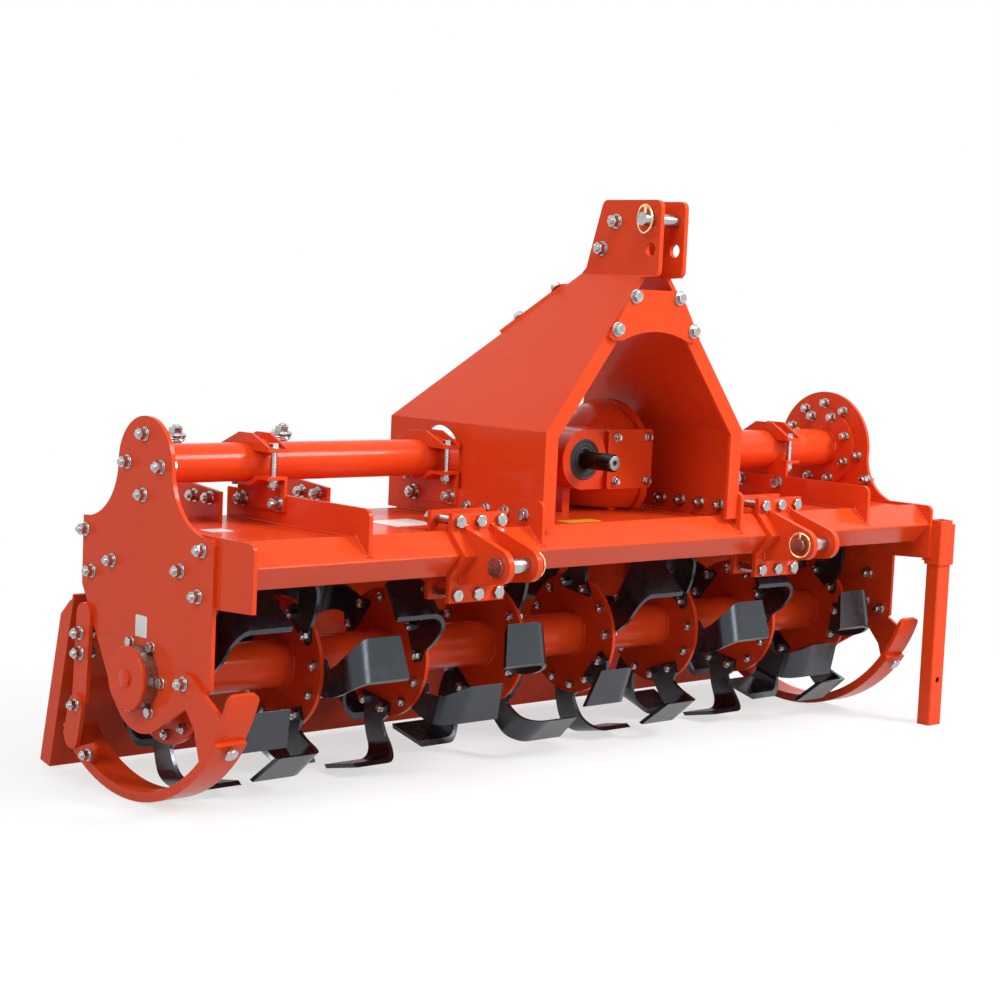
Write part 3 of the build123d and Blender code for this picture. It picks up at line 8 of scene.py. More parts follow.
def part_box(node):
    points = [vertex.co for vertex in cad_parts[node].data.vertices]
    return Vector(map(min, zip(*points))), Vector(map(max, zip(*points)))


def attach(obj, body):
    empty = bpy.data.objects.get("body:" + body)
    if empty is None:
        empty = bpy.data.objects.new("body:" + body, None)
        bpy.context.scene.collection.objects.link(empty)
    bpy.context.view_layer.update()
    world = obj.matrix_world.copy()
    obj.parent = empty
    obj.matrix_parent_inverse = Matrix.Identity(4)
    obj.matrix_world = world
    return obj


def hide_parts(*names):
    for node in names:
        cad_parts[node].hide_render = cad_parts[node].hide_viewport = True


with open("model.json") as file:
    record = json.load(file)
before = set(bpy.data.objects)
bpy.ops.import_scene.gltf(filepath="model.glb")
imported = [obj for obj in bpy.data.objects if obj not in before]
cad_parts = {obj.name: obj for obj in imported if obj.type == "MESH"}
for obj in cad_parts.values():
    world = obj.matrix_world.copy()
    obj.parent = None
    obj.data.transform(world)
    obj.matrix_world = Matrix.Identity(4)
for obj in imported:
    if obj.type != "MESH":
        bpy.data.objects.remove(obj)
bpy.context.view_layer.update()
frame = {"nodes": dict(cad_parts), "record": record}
NODES = frame["nodes"]
SCENE = bpy.context.scene

AXIS_X, AXIS_Y, UP = Vector((1, 0, 0)), Vector((0, 1, 0)), Vector((0, 0, 1))
LEFT, RIGHT, FRONT, REAR, DOWN = -AXIS_X, AXIS_X, -AXIS_Y, AXIS_Y, -UP

# The mast's centre plane and the rotor's axis in the shared frame, in metres, from the CAD nodes.
MAST_X = (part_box("mast_cheek_left")[0][0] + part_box("mast_cheek_right")[1][0]) / 2
FLANGE_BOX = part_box("rotor_flanges")
AXLE_Y = (FLANGE_BOX[0][1] + FLANGE_BOX[1][1]) / 2
AXLE_Z = (FLANGE_BOX[0][2] + FLANGE_BOX[1][2]) / 2


def at(x, y, z):
    """A point in the shared frame, given in millimetres about that plane and that axis."""
    return Vector((MAST_X + x / 1000, AXLE_Y + y / 1000, AXLE_Z + z / 1000))


def local(p):
    """The same the other way round."""
    return Vector(((p[0] - MAST_X) * 1000, (p[1] - AXLE_Y) * 1000, (p[2] - AXLE_Z) * 1000))


def low(name):
    """The lowest corner of a node's box, in those millimetres."""
    return local(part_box(name)[0])


def high(name):
    """The highest corner of a node's box."""
    return local(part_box(name)[1])


def around(radius, count, first=0.0, step=None):
    """Places round a circle, as (cosine, sine) times its radius, from a first turn in degrees."""
    step = step or 360 / count
    turns = [math.radians(first + step * k) for k in range(count)]
    return [(radius * math.cos(a), radius * math.sin(a)) for a in turns]


# ------------------------------------------------------------------ materials
EDGE_R = 0.0011          # painted edges look rounded by this much, in metres
METAL_EDGE_R = 0.0004
ROLLED_R = 0.0045        # the beam's rolled corners
FOLDED_R = 0.0022        # folded plate
EDGE_SAMPLES = 4
ENAMEL = [(0.670, 0.052, 0.009), (0.690, 0.055, 0.010), (0.710, 0.058, 0.011)]
ENAMEL_DUST = (0.46, 0.030, 0.007)
BLADE_BLACK = [(0.004, 0.004, 0.006), (0.009, 0.010, 0.014)]
BLADE_SCUFF = (0.026, 0.027, 0.030)
SKY_TINT = (0.82, 0.90, 1.0, 1)


def material(name):
    m = bpy.data.materials.new(name)
    m.use_nodes = True
    bsdf = m.node_tree.nodes["Principled BSDF"]
    return m, m.node_tree, bsdf


def node(tree, kind, **values):
    """A new shader node; each value is an input's default or else a setting of the node."""
    n = tree.nodes.new(kind)
    for key, value in values.items():
        if key in n.inputs:
            n.inputs[key].default_value = value
        else:
            setattr(n, key, value)
    return n


def coords(tree):
    return node(tree, "ShaderNodeTexCoord").outputs["Object"]


def noise(tree, vector, scale, detail, rough=0.55):
    n = node(tree, "ShaderNodeTexNoise", Scale=scale, Detail=detail, Roughness=rough)
    tree.links.new(vector, n.inputs["Vector"])
    return n.outputs["Fac"]


def ramp(tree, fac, stops):
    """Colours at places along a factor."""
    r = node(tree, "ShaderNodeValToRGB")
    while len(r.color_ramp.elements) > 1:
        r.color_ramp.elements.remove(r.color_ramp.elements[-1])
    r.color_ramp.elements[0].position = stops[0][0]
    r.color_ramp.elements[0].color = (*stops[0][1], 1)
    for pos, col in stops[1:]:
        e = r.color_ramp.elements.new(pos)
        e.color = (*col, 1)
    tree.links.new(fac, r.inputs["Fac"])
    return r.outputs["Color"]


def maprange(tree, fac, to_low, to_high, from_low=0.3, from_high=0.7):
    """A factor carried from one range of values to another."""
    n = node(tree, "ShaderNodeMapRange")
    n.inputs["From Min"].default_value = from_low
    n.inputs["From Max"].default_value = from_high
    n.inputs["To Min"].default_value = to_low
    n.inputs["To Max"].default_value = to_high
    tree.links.new(fac, n.inputs["Value"])
    return n.outputs["Result"]


def bump(tree, bsdf, height, strength, distance, edge=EDGE_R):
    """Relief in the surface, and edges that look rounded by a radius in metres."""
    b = node(tree, "ShaderNodeBump", Strength=strength, Distance=distance)
    tree.links.new(height, b.inputs["Height"])
    if edge:
        round_edge = node(tree, "ShaderNodeBevel", samples=EDGE_SAMPLES, Radius=edge)
        tree.links.new(round_edge.outputs["Normal"], b.inputs["Normal"])
    tree.links.new(b.outputs["Normal"], bsdf.inputs["Normal"])


def mix_colour(tree, fac, a, b):
    n = node(tree, "ShaderNodeMix", data_type="RGBA")
    tree.links.new(fac, n.inputs[0])
    for value, socket in ((a, n.inputs[6]), (b, n.inputs[7])):
        if isinstance(value, tuple):
            socket.default_value = (*value, 1)
        else:
            tree.links.new(value, socket)
    return n.outputs[2]


def red_paint(name="red_paint", tone=1.0, peel=0.05, edge=EDGE_R):
    """Sprayed enamel: a little drift in colour and gloss, orange peel, dust in the film."""
    m, t, b = material(name)
    v = coords(t)
    shades = [tuple(c * tone for c in shade) for shade in ENAMEL]
    body = ramp(t, noise(t, v, 2.2, 1.0), [(0.0, shades[0]), (0.5, shades[1]), (1.0, shades[2])])
    specks = maprange(t, noise(t, v, 420.0, 2.0, 0.4), 0.0, 0.30, 0.68, 0.78)
    t.links.new(mix_colour(t, specks, body, ENAMEL_DUST), b.inputs["Base Color"])
    t.links.new(maprange(t, noise(t, v, 9.0, 1.5), 0.23, 0.31, 0.0, 1.0), b.inputs["Roughness"])
    b.inputs["Specular IOR Level"].default_value = 0.10
    b.inputs["Coat Weight"].default_value = 0.13
    b.inputs["Coat Roughness"].default_value = 0.05
    bump(t, b, noise(t, v, 300.0, 1.0), peel, 0.0004, edge)
    return m


def black_paint():
    """Thin glossy black over forged steel, with dull scuffs."""
    m, t, b = material("black_paint")
    v = coords(t)
    body = ramp(t, noise(t, v, 14.0, 5.0), [(0.3, BLADE_BLACK[0]), (0.7, BLADE_BLACK[1])])
    scuff = maprange(t, noise(t, v, 75.0, 3.0, 0.7), 0.0, 0.5, 0.64, 0.80)
    t.links.new(mix_colour(t, scuff, body, BLADE_SCUFF), b.inputs["Base Color"])
    t.links.new(maprange(t, noise(t, v, 50.0, 4.0), 0.20, 0.30), b.inputs["Roughness"])
    b.inputs["Specular IOR Level"].default_value = 0.80
    b.inputs["Specular Tint"].default_value = SKY_TINT
    bump(t, b, noise(t, v, 160.0, 3.0), 0.22, 0.0006)
    return m


def metal(name, dark, light, rough, scale):
    """Bare or plated metal, mottled between two shades."""
    m, t, b = material(name)
    v = coords(t)
    t.links.new(ramp(t, noise(t, v, scale, 5.0), [(0.3, dark), (0.7, light)]), b.inputs["Base Color"])
    b.inputs["Metallic"].default_value = 1.0
    t.links.new(maprange(t, noise(t, v, scale * 2.3, 4.0), *rough), b.inputs["Roughness"])
    bump(t, b, noise(t, v, scale * 9, 2.0), 0.08, 0.0004, METAL_EDGE_R)
    return m


def plain(name, dark, light, rough, scale, strength=0.1):
    """Rubber or a printed film, mottled between two shades."""
    m, t, b = material(name)
    v = coords(t)
    t.links.new(ramp(t, noise(t, v, scale, 4.0), [(0.3, dark), (0.7, light)]), b.inputs["Base Color"])
    t.links.new(maprange(t, noise(t, v, scale * 2, 4.0), *rough), b.inputs["Roughness"])
    bump(t, b, noise(t, v, scale * 5, 2.0), strength, 0.0005, 0)
    return m


RED = red_paint()
CAST = red_paint("red_cast_paint", 0.94, 0.35)
ROLLED = red_paint("red_rolled_edges", edge=ROLLED_R)
FOLDED = red_paint("red_folded_plate", edge=FOLDED_R)
BLACK = black_paint()
ZINC = metal("zinc_plate", (0.37, 0.37, 0.375), (0.52, 0.52, 0.515), (0.18, 0.32), 120.0)
BARE = metal("bare_steel", (0.20, 0.17, 0.14), (0.40, 0.36, 0.31), (0.26, 0.44), 90.0)
DARK = metal("oiled_steel", (0.020, 0.020, 0.022), (0.050, 0.050, 0.054), (0.32, 0.5), 80.0)
BRASS = metal("passivated_clip", (0.55, 0.42, 0.20), (0.76, 0.62, 0.36), (0.18, 0.32), 90.0)
RUBBER = plain("seal_rubber", (0.010, 0.010, 0.010), (0.028, 0.028, 0.028), (0.45, 0.7), 90.0)
LABEL = plain("blank_label", (0.62, 0.62, 0.60), (0.80, 0.80, 0.78), (0.28, 0.42), 12.0, 0.02)
YELLOW = plain("blank_label_yellow", (0.62, 0.36, 0.012), (0.78, 0.48, 0.02), (0.28, 0.42), 40.0, 0.02)
SHOWN = {
    "red_paint": RED, "black_paint": BLACK, "zinc": ZINC,
    "bare_steel": BARE, "shaft_black": DARK, "seal_rubber": RUBBER,
}
FINISH_OF = {
    "gearbox_housing": CAST, "gearbox_cover": CAST, "bearing_right": CAST,
    "front_beam": ROLLED, "mast_cheek_left": FOLDED, "mast_cheek_right": FOLDED,
    "hitch_bracket_left": FOLDED, "hitch_bracket_right": FOLDED, "deck": FOLDED,
    "clamp_caps": FOLDED, "clamp_saddles": FOLDED, "stand_sleeve": FOLDED, "stand_leg": FOLDED,
}
SLOT_OF = {s["node"]: s["material_slot"] for s in frame["record"]["subparts"]}
for node_name, obj in NODES.items():
    obj.data.materials.clear()
    obj.data.materials.append(FINISH_OF.get(node_name) or SHOWN[SLOT_OF[node_name]])

# ------------------------------------------------------------------ building pieces
SMOOTH_BELOW = math.radians(32)
MERGE = 1e-6          # metres


class Shape:
    """Points in millimetres, as for at(), and the faces between them."""

    def __init__(self):
        self.points = []
        self.faces = []

    def ring(self, points):
        """Adds points, and gives their numbers."""
        start = len(self.points)
        self.points.extend(points)
        return list(range(start, start + len(points)))

    def skin(self, a, b):
        """Faces between two rings of the same count."""
        for i in range(len(a)):
            j = (i + 1) % len(a)
            self.faces.append((a[i], a[j], b[j], b[i]))

    def fan(self, ring, tip):
        for i in range(len(ring)):
            self.faces.append((ring[i], ring[(i + 1) % len(ring)], tip))

    def cap(self, ring):
        self.faces.append(tuple(ring))

    def make(self, name, body, slot, finish):
        """Closes the shape off as one piece that rides a body."""
        mesh = bpy.data.meshes.new(name)
        mesh.from_pydata([at(*p) for p in self.points], [], self.faces)
        bm = bmesh.new()
        bm.from_mesh(mesh)
        bmesh.ops.remove_doubles(bm, verts=bm.verts, dist=MERGE)
        bmesh.ops.recalc_face_normals(bm, faces=bm.faces)
        bm.to_mesh(mesh)
        bm.free()
        for p in mesh.polygons:
            p.use_smooth = True
        mesh.set_sharp_from_angle(angle=SMOOTH_BELOW)
        mesh.materials.append(finish)
        obj = bpy.data.objects.new(name, mesh)
        SCENE.collection.objects.link(obj)
        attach(obj, body)
        return obj


def axes(direction):
    """Two ways square to a direction, and the direction itself."""
    w = Vector(direction).normalized()
    u = w.cross(UP if abs(w.z) < 0.9 else AXIS_X).normalized()
    return u, w.cross(u), w


def lathe(s, place, direction, profile, sides=24, wave=None, capped=True):
    """Turns a profile of (radius, height) about an axis; wave scales a radius by its angle."""
    u, v, w = axes(direction)
    centre = Vector(place)
    last = None
    for radius, height in profile:
        middle = centre + w * height
        if radius == 0:
            ring = s.ring([middle])
        else:
            ring = []
            for i in range(sides):
                a = 2 * math.pi * i / sides
                r = radius * wave(i / sides) if wave else radius
                ring.append(middle + (u * math.cos(a) + v * math.sin(a)) * r)
            ring = s.ring(ring)
        if last:
            if len(last) == 1:
                s.fan(ring, last[0])
            elif len(ring) == 1:
                s.fan(last, ring[0])
            else:
                s.skin(last, ring)
        elif len(ring) > 1 and capped:
            s.cap(ring)
        last = ring
    if len(last) > 1 and capped:
        s.cap(last)


HEX_POINTS = 24       # round a hexagon, four to a side, so that its chamfer shows as arcs
CHAMFER = math.tan(math.radians(28))
CROWN = 0.95          # the flat circle on top, against the width across flats


def hexagon(s, place, direction, across, height, roll=0.0, lift=0.0, dish=0.0):
    """A hexagon with its corners turned down to a circle on top, sunk there by dish."""
    u, v, w = axes(direction)
    centre = Vector(place) + w * lift
    flat = across / 2
    crown = flat * CROWN
    foot, brow, top = [], [], []
    for i in range(HEX_POINTS):
        turn = 2 * math.pi * i / HEX_POINTS
        reach = flat / math.cos((turn % (math.pi / 3)) - math.pi / 6)
        way = u * math.cos(turn + roll) + v * math.sin(turn + roll)
        foot.append(centre + way * reach)
        brow.append(centre + way * reach + w * (height - (reach - crown) * CHAMFER))
        top.append(centre + way * crown + w * height)
    foot, brow, top = s.ring(foot), s.ring(brow), s.ring(top)
    s.cap(foot)
    s.skin(foot, brow)
    s.skin(brow, top)
    if dish:
        peak = centre + w * height
        inner = s.ring([centre + (s.points[i] - peak) * 0.78 + w * (height - dish) for i in top])
        s.skin(top, inner)
        s.cap(inner)
    else:
        s.cap(top)


# Fasteners, against their thread's diameter, and then in millimetres.
WASHER_R = 1.02
ACROSS = 1.5          # a hexagon's width across flats
HEAD_H, NUT_H = 0.64, 0.80
SPLIT_R = 0.80        # a spring washer's radius
WASHER_T = 2.4
SPLIT_T, SPLIT_RISE = 2.5, 2.4
EDGE_CUT = 0.5        # a washer's edges, and the dish in a bolt's head
THREAD_PITCH = 1.75
TIP = 1.2             # the chamfer at a thread's end
ROD_CUT, ROD_SIDES = 0.6, 20


def washer(s, place, direction, radius, thick=WASHER_T):
    inner = radius - EDGE_CUT
    profile = [(inner, 0), (radius, EDGE_CUT), (radius, thick - EDGE_CUT), (inner, thick)]
    lathe(s, place, direction, profile)


def spring_washer(s, place, direction, radius, lift):
    profile = [(radius, lift), (radius, lift + SPLIT_T - 0.3), (radius - 0.4, lift + SPLIT_T)]
    lathe(s, place, direction, profile)


def thread(s, place, direction, radius, start, end, sides=16):
    """A threaded end: crests and roots in turn, and a chamfered tip."""
    profile = [(radius, start)]
    h = start
    while h + THREAD_PITCH < end - TIP:
        profile.append((radius, h + THREAD_PITCH * 0.25))
        profile.append((radius * 0.91, h + THREAD_PITCH * 0.6))
        h += THREAD_PITCH
        profile.append((radius, h))
    profile += [(radius, end - TIP), (radius * 0.84, end)]
    lathe(s, place, direction, profile, sides)


def roll_of(place):
    """Each fastener stops at a turn of its own, the same one at every run."""
    return (place[0] * 0.37 + place[1] * 1.13 + place[2] * 0.71) % (math.pi / 3)


def bolt(s, place, direction, size, plate_washer=True, wide=1.0):
    """A bolt's head, on a plate from which direction points away."""
    lift = 0.0
    if plate_washer:
        washer(s, place, direction, size * WASHER_R * wide)
        lift = WASHER_T
    hexagon(s, place, direction, size * ACROSS, size * HEAD_H, roll_of(place), lift, EDGE_CUT)


def nut(s, place, direction, size, out=5.0, washers=True):
    """A nut with the bolt's end standing out of it."""
    lift = 0.0
    if washers:
        washer(s, place, direction, size * WASHER_R)
        spring_washer(s, place, direction, size * SPLIT_R, WASHER_T)
        lift = WASHER_T + SPLIT_RISE
    hexagon(s, place, direction, size * ACROSS, size * NUT_H, roll_of(place), lift)
    thread(s, place, direction, size / 2, lift + size * 0.75, lift + size * NUT_H + out)


def rod(s, a, b, radius):
    """A round bar from a to b, its ends a little chamfered."""
    a, b = Vector(a), Vector(b)
    length = (b - a).length
    inner = radius - ROD_CUT
    profile = [(inner, 0), (radius, ROD_CUT), (radius, length - ROD_CUT), (inner, length)]
    lathe(s, a, b - a, profile, ROD_SIDES)


def circle(centre, direction, reach, count, squash=1.0):
    """Points round a centre."""
    u, v, w = axes(direction)
    points = []
    for i in range(count):
        a = 2 * math.pi * i / count
        points.append(Vector(centre) + u * math.cos(a) * reach * squash + v * math.sin(a) * reach)
    return points


def sweep(s, path, radius, sides, closed=False, ripple=None):
    """A round section carried along a path; ripple gives each place its own radius."""
    path = [Vector(p) for p in path]
    count = len(path)
    rings = []
    side = None
    for i, p in enumerate(path):
        if closed:
            ahead = (path[(i + 1) % count] - path[i - 1]).normalized()
        else:
            ahead = (path[min(i + 1, count - 1)] - path[max(i - 1, 0)]).normalized()
        if side is None:
            side = axes(ahead)[0]
        side = (side - ahead * side.dot(ahead)).normalized()
        other = ahead.cross(side)
        r = radius * (ripple(i) if ripple else 1.0)
        ring = []
        for k in range(sides):
            a = 2 * math.pi * k / sides
            ring.append(p + (side * math.cos(a) + other * math.sin(a)) * r)
        rings.append(s.ring(ring))
    for i in range(count - 1):
        s.skin(rings[i], rings[i + 1])
    if closed:
        # the last ring is joined to the first at the nearest turn
        first, last = rings[0], rings[-1]
        gaps = [(s.points[last[0]] - s.points[first[k]]).length for k in range(sides)]
        shift = gaps.index(min(gaps))
        s.skin(last, [first[(k + shift) % sides] for k in range(sides)])
    else:
        s.cap(rings[0])
        s.cap(rings[-1])


BEAD_STEP = 2.4       # along a weld, between the places that its ripples are drawn at
BEAD_SIDES = 6
BEAD_OUT = 0.8        # a bead's middle stands this far off a tube


def bead_ripple(i):
    """A bead's radius at its i-th place, against its middle one."""
    return 1.0 + 0.16 * math.sin(i * 1.9) + 0.07 * math.sin(i * 0.83 + 1.0)


def weld(s, a, b, radius):
    """A straight run of weld from a to b."""
    a, b = Vector(a), Vector(b)
    count = max(3, int((b - a).length / BEAD_STEP))
    path = [a.lerp(b, i / count) for i in range(count + 1)]
    sweep(s, path, radius, BEAD_SIDES, False, bead_ripple)


def weld_ring(s, centre, direction, reach, radius):
    """A weld all the way round a tube."""
    path = circle(centre, direction, reach, int(reach * 2 * math.pi / BEAD_STEP))
    sweep(s, path, radius, BEAD_SIDES, True, bead_ripple)


LABEL_T, LABEL_CORNER = 0.5, 3


def tab(s, centre, across, along, width, length):
    """A blank label with round corners, lying on across x along."""
    across, along = Vector(across).normalized(), Vector(along).normalized()
    out = across.cross(along)
    reach_x, reach_y = width / 2 - LABEL_CORNER, length / 2 - LABEL_CORNER
    outline = []
    for sx, sy, start in ((1, 1, 0), (-1, 1, 90), (-1, -1, 180), (1, -1, 270)):
        for x, y in around(LABEL_CORNER, 5, start, 22.5):
            outline.append((sx * reach_x + x, sy * reach_y + y))
    centre = Vector(centre)
    base = s.ring([centre + across * x + along * y for x, y in outline])
    top = s.ring([centre + across * x + along * y + out * LABEL_T for x, y in outline])
    s.cap(base)
    s.skin(base, top)
    s.cap(top)


# ------------------------------------------------------------------ where things are
PLATE_L, PLATE_L_IN = low("side_plate_left").x, high("side_plate_left").x
PLATE_R, PLATE_R_IN = high("side_plate_right").x, low("side_plate_right").x
STAY_X, LINK_X = low("skid_left").x, low("skid_stays").x
STAY_RX, LINK_RX = high("skid_right").x, high("skid_stays").x
TUBE_Y = (low("cross_tube_left").y + high("cross_tube_left").y) / 2
TUBE_Z = (low("cross_tube_left").z + high("cross_tube_left").z) / 2
CASE_RIM_X = PLATE_R + 8
BACK_FACE = high("hitch_back_plates").y
BRACKET_MID = (low("hitch_bracket_right").x + high("hitch_bracket_right").x) / 2
CHEEK_OUT = high("mast_cheek_right").x
GUSSET_Y = low("mast_gusset_front").y
COVER_Y = low("gearbox_cover").y
FLANGE_0, FLANGE_T, FLANGES = low("rotor_flanges").x, 8.0, 8
PITCH = (high("rotor_flanges").x - FLANGE_0 - FLANGE_T) / (FLANGES - 1)

# Thread diameters, as they look in the photograph.
BOLT_XL, BOLT_L, BOLT_M, BOLT_S = 14.0, 12.4, 11.0, 9.5

# ------------------------------------------------------------------ side plates
# Places on the plates are (y, z).
LEFT_TUBE_BOLTS = [(6, 425), (-47, 372), (59, 372), (6, 319)]
LEFT_PLATE_BOLTS = [(191, 239), (101, 193), (167, 166), (-177, 243), (-114, 201), (-168, 164)]
STAY_BOLTS = [(190, 50), (187, 14)]
LINK_BOLTS = [(185, -80), (139, -163)]
SKID_BOLT = (-144, 12)
RIGHT_PLATE_BOLTS = [(-184, 250), (-144, 99), (-140, 36), (-183, 22), (-122, 308)]
CASE_SIDE_BOLTS = [(99, 242), (87, 118), (-90, 242), (-82, 118)]
CASE_BOLTS = [(TUBE_Y + y, TUBE_Z + z) for y, z in around(101.0, 7, -8, 32.6)]
CASE_BOLTS += around(75.0, 5, 188, 41) + CASE_SIDE_BOLTS
TUBE_FLANGE_T = 10
COLLAR_BOLT_R = 75
SEAT_T, SEAT_BOLT_R = 10, 54     # the gearbox's seats for the cross tubes


def reaches_through(y, z):
    """Whether a drive case bolt's nut shows on the plate's inner side, clear of tube and bearing."""
    return z > 420 or z < -50 or abs(y) > 92


def plate_fasteners():
    s = Shape()
    for y, z in LEFT_TUBE_BOLTS + LEFT_PLATE_BOLTS:
        sunk = TUBE_FLANGE_T if (y, z) in LEFT_TUBE_BOLTS else 0
        nut(s, (PLATE_L, y, z), LEFT, BOLT_L)
        bolt(s, (PLATE_L_IN + sunk, y, z), RIGHT, BOLT_L, False)
    for y, z in STAY_BOLTS:
        nut(s, (STAY_X, y, z), LEFT, BOLT_L)
        bolt(s, (PLATE_L_IN, y, z), RIGHT, BOLT_L)
    for y, z in LINK_BOLTS:
        nut(s, (LINK_X, y, z), LEFT, BOLT_M)
    nut(s, (STAY_X, *SKID_BOLT), LEFT, BOLT_L)
    bolt(s, (PLATE_L_IN, *SKID_BOLT), RIGHT, BOLT_L)
    s.make("plate_bolts_left", "frame", "zinc", ZINC)
    s = Shape()
    for y, z in RIGHT_PLATE_BOLTS:
        nut(s, (PLATE_R_IN, y, z), LEFT, BOLT_L)
        bolt(s, (PLATE_R, y, z), RIGHT, BOLT_L)
    for y, z in CASE_BOLTS:
        bolt(s, (CASE_RIM_X, y, z), RIGHT, BOLT_M)
        if reaches_through(y, z):
            nut(s, (PLATE_R_IN, y, z), LEFT, BOLT_M, 4)
    for y, z in STAY_BOLTS:
        nut(s, (STAY_RX, y, z), RIGHT, BOLT_L)
        bolt(s, (PLATE_R_IN, y, z), LEFT, BOLT_L)
    for y, z in LINK_BOLTS:
        nut(s, (LINK_RX, y, z), RIGHT, BOLT_M)
    nut(s, (STAY_RX, *SKID_BOLT), RIGHT, BOLT_L)
    s.make("plate_bolts_right", "frame", "zinc", ZINC)
    s = Shape()
    collar = low("tube_collar_right").x
    for y, z in around(COLLAR_BOLT_R, 8, 22.5):
        nut(s, (collar, TUBE_Y + y, TUBE_Z + z), LEFT, BOLT_M, 3)
    seat_left = low("gearbox_housing").x - SEAT_T
    seat_right = high("gearbox_housing").x + SEAT_T
    for x, way in ((seat_left, LEFT), (seat_right, RIGHT)):
        for y, z in around(SEAT_BOLT_R, 6, 30):
            bolt(s, (x, TUBE_Y + y, TUBE_Z + z), way, BOLT_M)
    s.make("cross_tube_bolts", "frame", "zinc", ZINC)


# ------------------------------------------------------------------ left bearing
BOSS_R, BOSS_INNER_R, HUB_BORE_R = 56.0, 84.0, 32.0
HUB_SINK, HUB_EDGE, HUB_FACE = 13, 7.4, 6.5     # inwards from the cap's outermost point
CAP_OVER, CAP_BACK, CAP_EDGE, CAP_FACE = 0.8, 11, 5.6, 4.2
CAP_HEX, CAP_HEX_ROLL = 30, 0.2
BEARING_BOLT_R, BEARING_WASHER = 66.0, 0.9
ROUND = 72            # sides of a large turned piece


def bearing():
    face = low("bearing_left").x
    inner = high("bearing_left").x
    s = Shape()
    profile = [
        (0, face + HUB_SINK), (HUB_BORE_R, face + HUB_SINK), (HUB_BORE_R, inner),
        (BOSS_INNER_R, inner), (BOSS_INNER_R, PLATE_L_IN), (BOSS_R, PLATE_L_IN),
        (BOSS_R, face + HUB_EDGE), (BOSS_R - 1, face + HUB_FACE), (0, face + HUB_FACE),
    ]
    lathe(s, (0, 0, 0), RIGHT, profile, ROUND)
    hub = s.make("bearing_left_hub", "frame", "bare_steel", BARE)
    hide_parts("bearing_left")
    s = Shape()
    rim = BOSS_R + CAP_OVER
    profile = [(rim, CAP_BACK), (rim, CAP_EDGE), (BOSS_R - CAP_OVER, CAP_FACE), (0, CAP_FACE)]
    lathe(s, (face, 0, 0), RIGHT, profile, ROUND)
    hexagon(s, (face + CAP_FACE, 0, 0), LEFT, CAP_HEX, CAP_FACE, CAP_HEX_ROLL)
    s.make("bearing_left_cap", "frame", "red_paint", RED)
    s = Shape()
    for y, z in around(BEARING_BOLT_R, 6):
        bolt(s, (PLATE_L, y, z), LEFT, BOLT_M, True, BEARING_WASHER)
    s.make("bearing_left_bolts", "frame", "zinc", ZINC)


# ------------------------------------------------------------------ rotor
ROTOR_TUBE_R, BLADE_T = 44.5, 8.0
FIRST_TURN, FLANGE_TURN, BLADES = 69.0, 30.0, 6      # degrees, as in the CAD
BLADE_BOLT_R, BLADE_BOLT_TURN = 106.0, 15.0
FLANGE_BEAD, FLANGE_BEAD_OUT = 3.4, 0.6
HUB_BOLT_R = 62
HUB_IN_LEFT, HUB_IN_RIGHT = 58.0, 34.0               # from the rotor tube's ends


def blade_places():
    """Each blade as its flange's low face, its turn in degrees, and whether it bends to the right."""
    places = []
    for i in range(FLANGES):
        for k in range(BLADES):
            right = i == 0 or (i != FLANGES - 1 and k % 2 == 0)
            turn = FIRST_TURN + FLANGE_TURN * i + 360 / BLADES * k
            places.append((FLANGE_0 + PITCH * i, turn, right))
    return places


def rotor_fasteners():
    nuts, heads = Shape(), Shape()
    for x, turn, right in blade_places():
        for side in (-BLADE_BOLT_TURN, BLADE_BOLT_TURN):
            a = math.radians(turn + side)
            y, z = -BLADE_BOLT_R * math.sin(a), BLADE_BOLT_R * math.cos(a)
            left_face = x if right else x - BLADE_T
            right_face = x + FLANGE_T + (BLADE_T if right else 0)
            nut(nuts, (left_face, y, z), LEFT, BOLT_M, 4.5, False)
            bolt(heads, (right_face, y, z), RIGHT, BOLT_M, False)
    nuts.make("blade_nuts", "rotor", "zinc", ZINC)
    heads.make("blade_bolt_heads", "rotor", "zinc", ZINC)
    s = Shape()
    for i in range(FLANGES):
        x = FLANGE_0 + PITCH * i
        for face in (x - FLANGE_BEAD_OUT, x + FLANGE_T + FLANGE_BEAD_OUT):
            weld_ring(s, (face, 0, 0), RIGHT, ROTOR_TUBE_R + BEAD_OUT, FLANGE_BEAD)
    s.make("rotor_welds", "rotor", "red_paint", RED)
    s = Shape()
    ends = ((low("rotor_tube").x + HUB_IN_LEFT, RIGHT), (high("rotor_tube").x - HUB_IN_RIGHT, LEFT))
    for x, way in ends:
        for y, z in around(HUB_BOLT_R, 6, 15):
            bolt(s, (x, y, z), way, BOLT_M, False)
    s.make("rotor_hub_bolts", "rotor", "zinc", ZINC)


# ------------------------------------------------------------------ hitch
LUG_INNER, LUG_T = 27.5, 13.0
HITCH_BOLT_X, HITCH_BOLT_Z = (-49.6, 0, 49.6), (284, 152)
BRACKET_FACE = -282.0
LUG_WELD_LOW, LUG_WELD_HIGH, LUG_WELD_TOP = 172, 274, 276
LUG_BEAD, LUG_TOP_BEAD, LUG_BEAD_OUT = 3.6, 3.4, 0.5
BOLT_BODY_R = 8
PIN_Y, PIN_Z = -380.0, 214.0
CLIP_WIRE_R, CLIP_SQUASH, CLIP_REACH = 2.1, 0.92, 24.0
CLIP_FROM_END = 6.5
PEG_R, PEG_HEAD_R = 2.9, 4.4


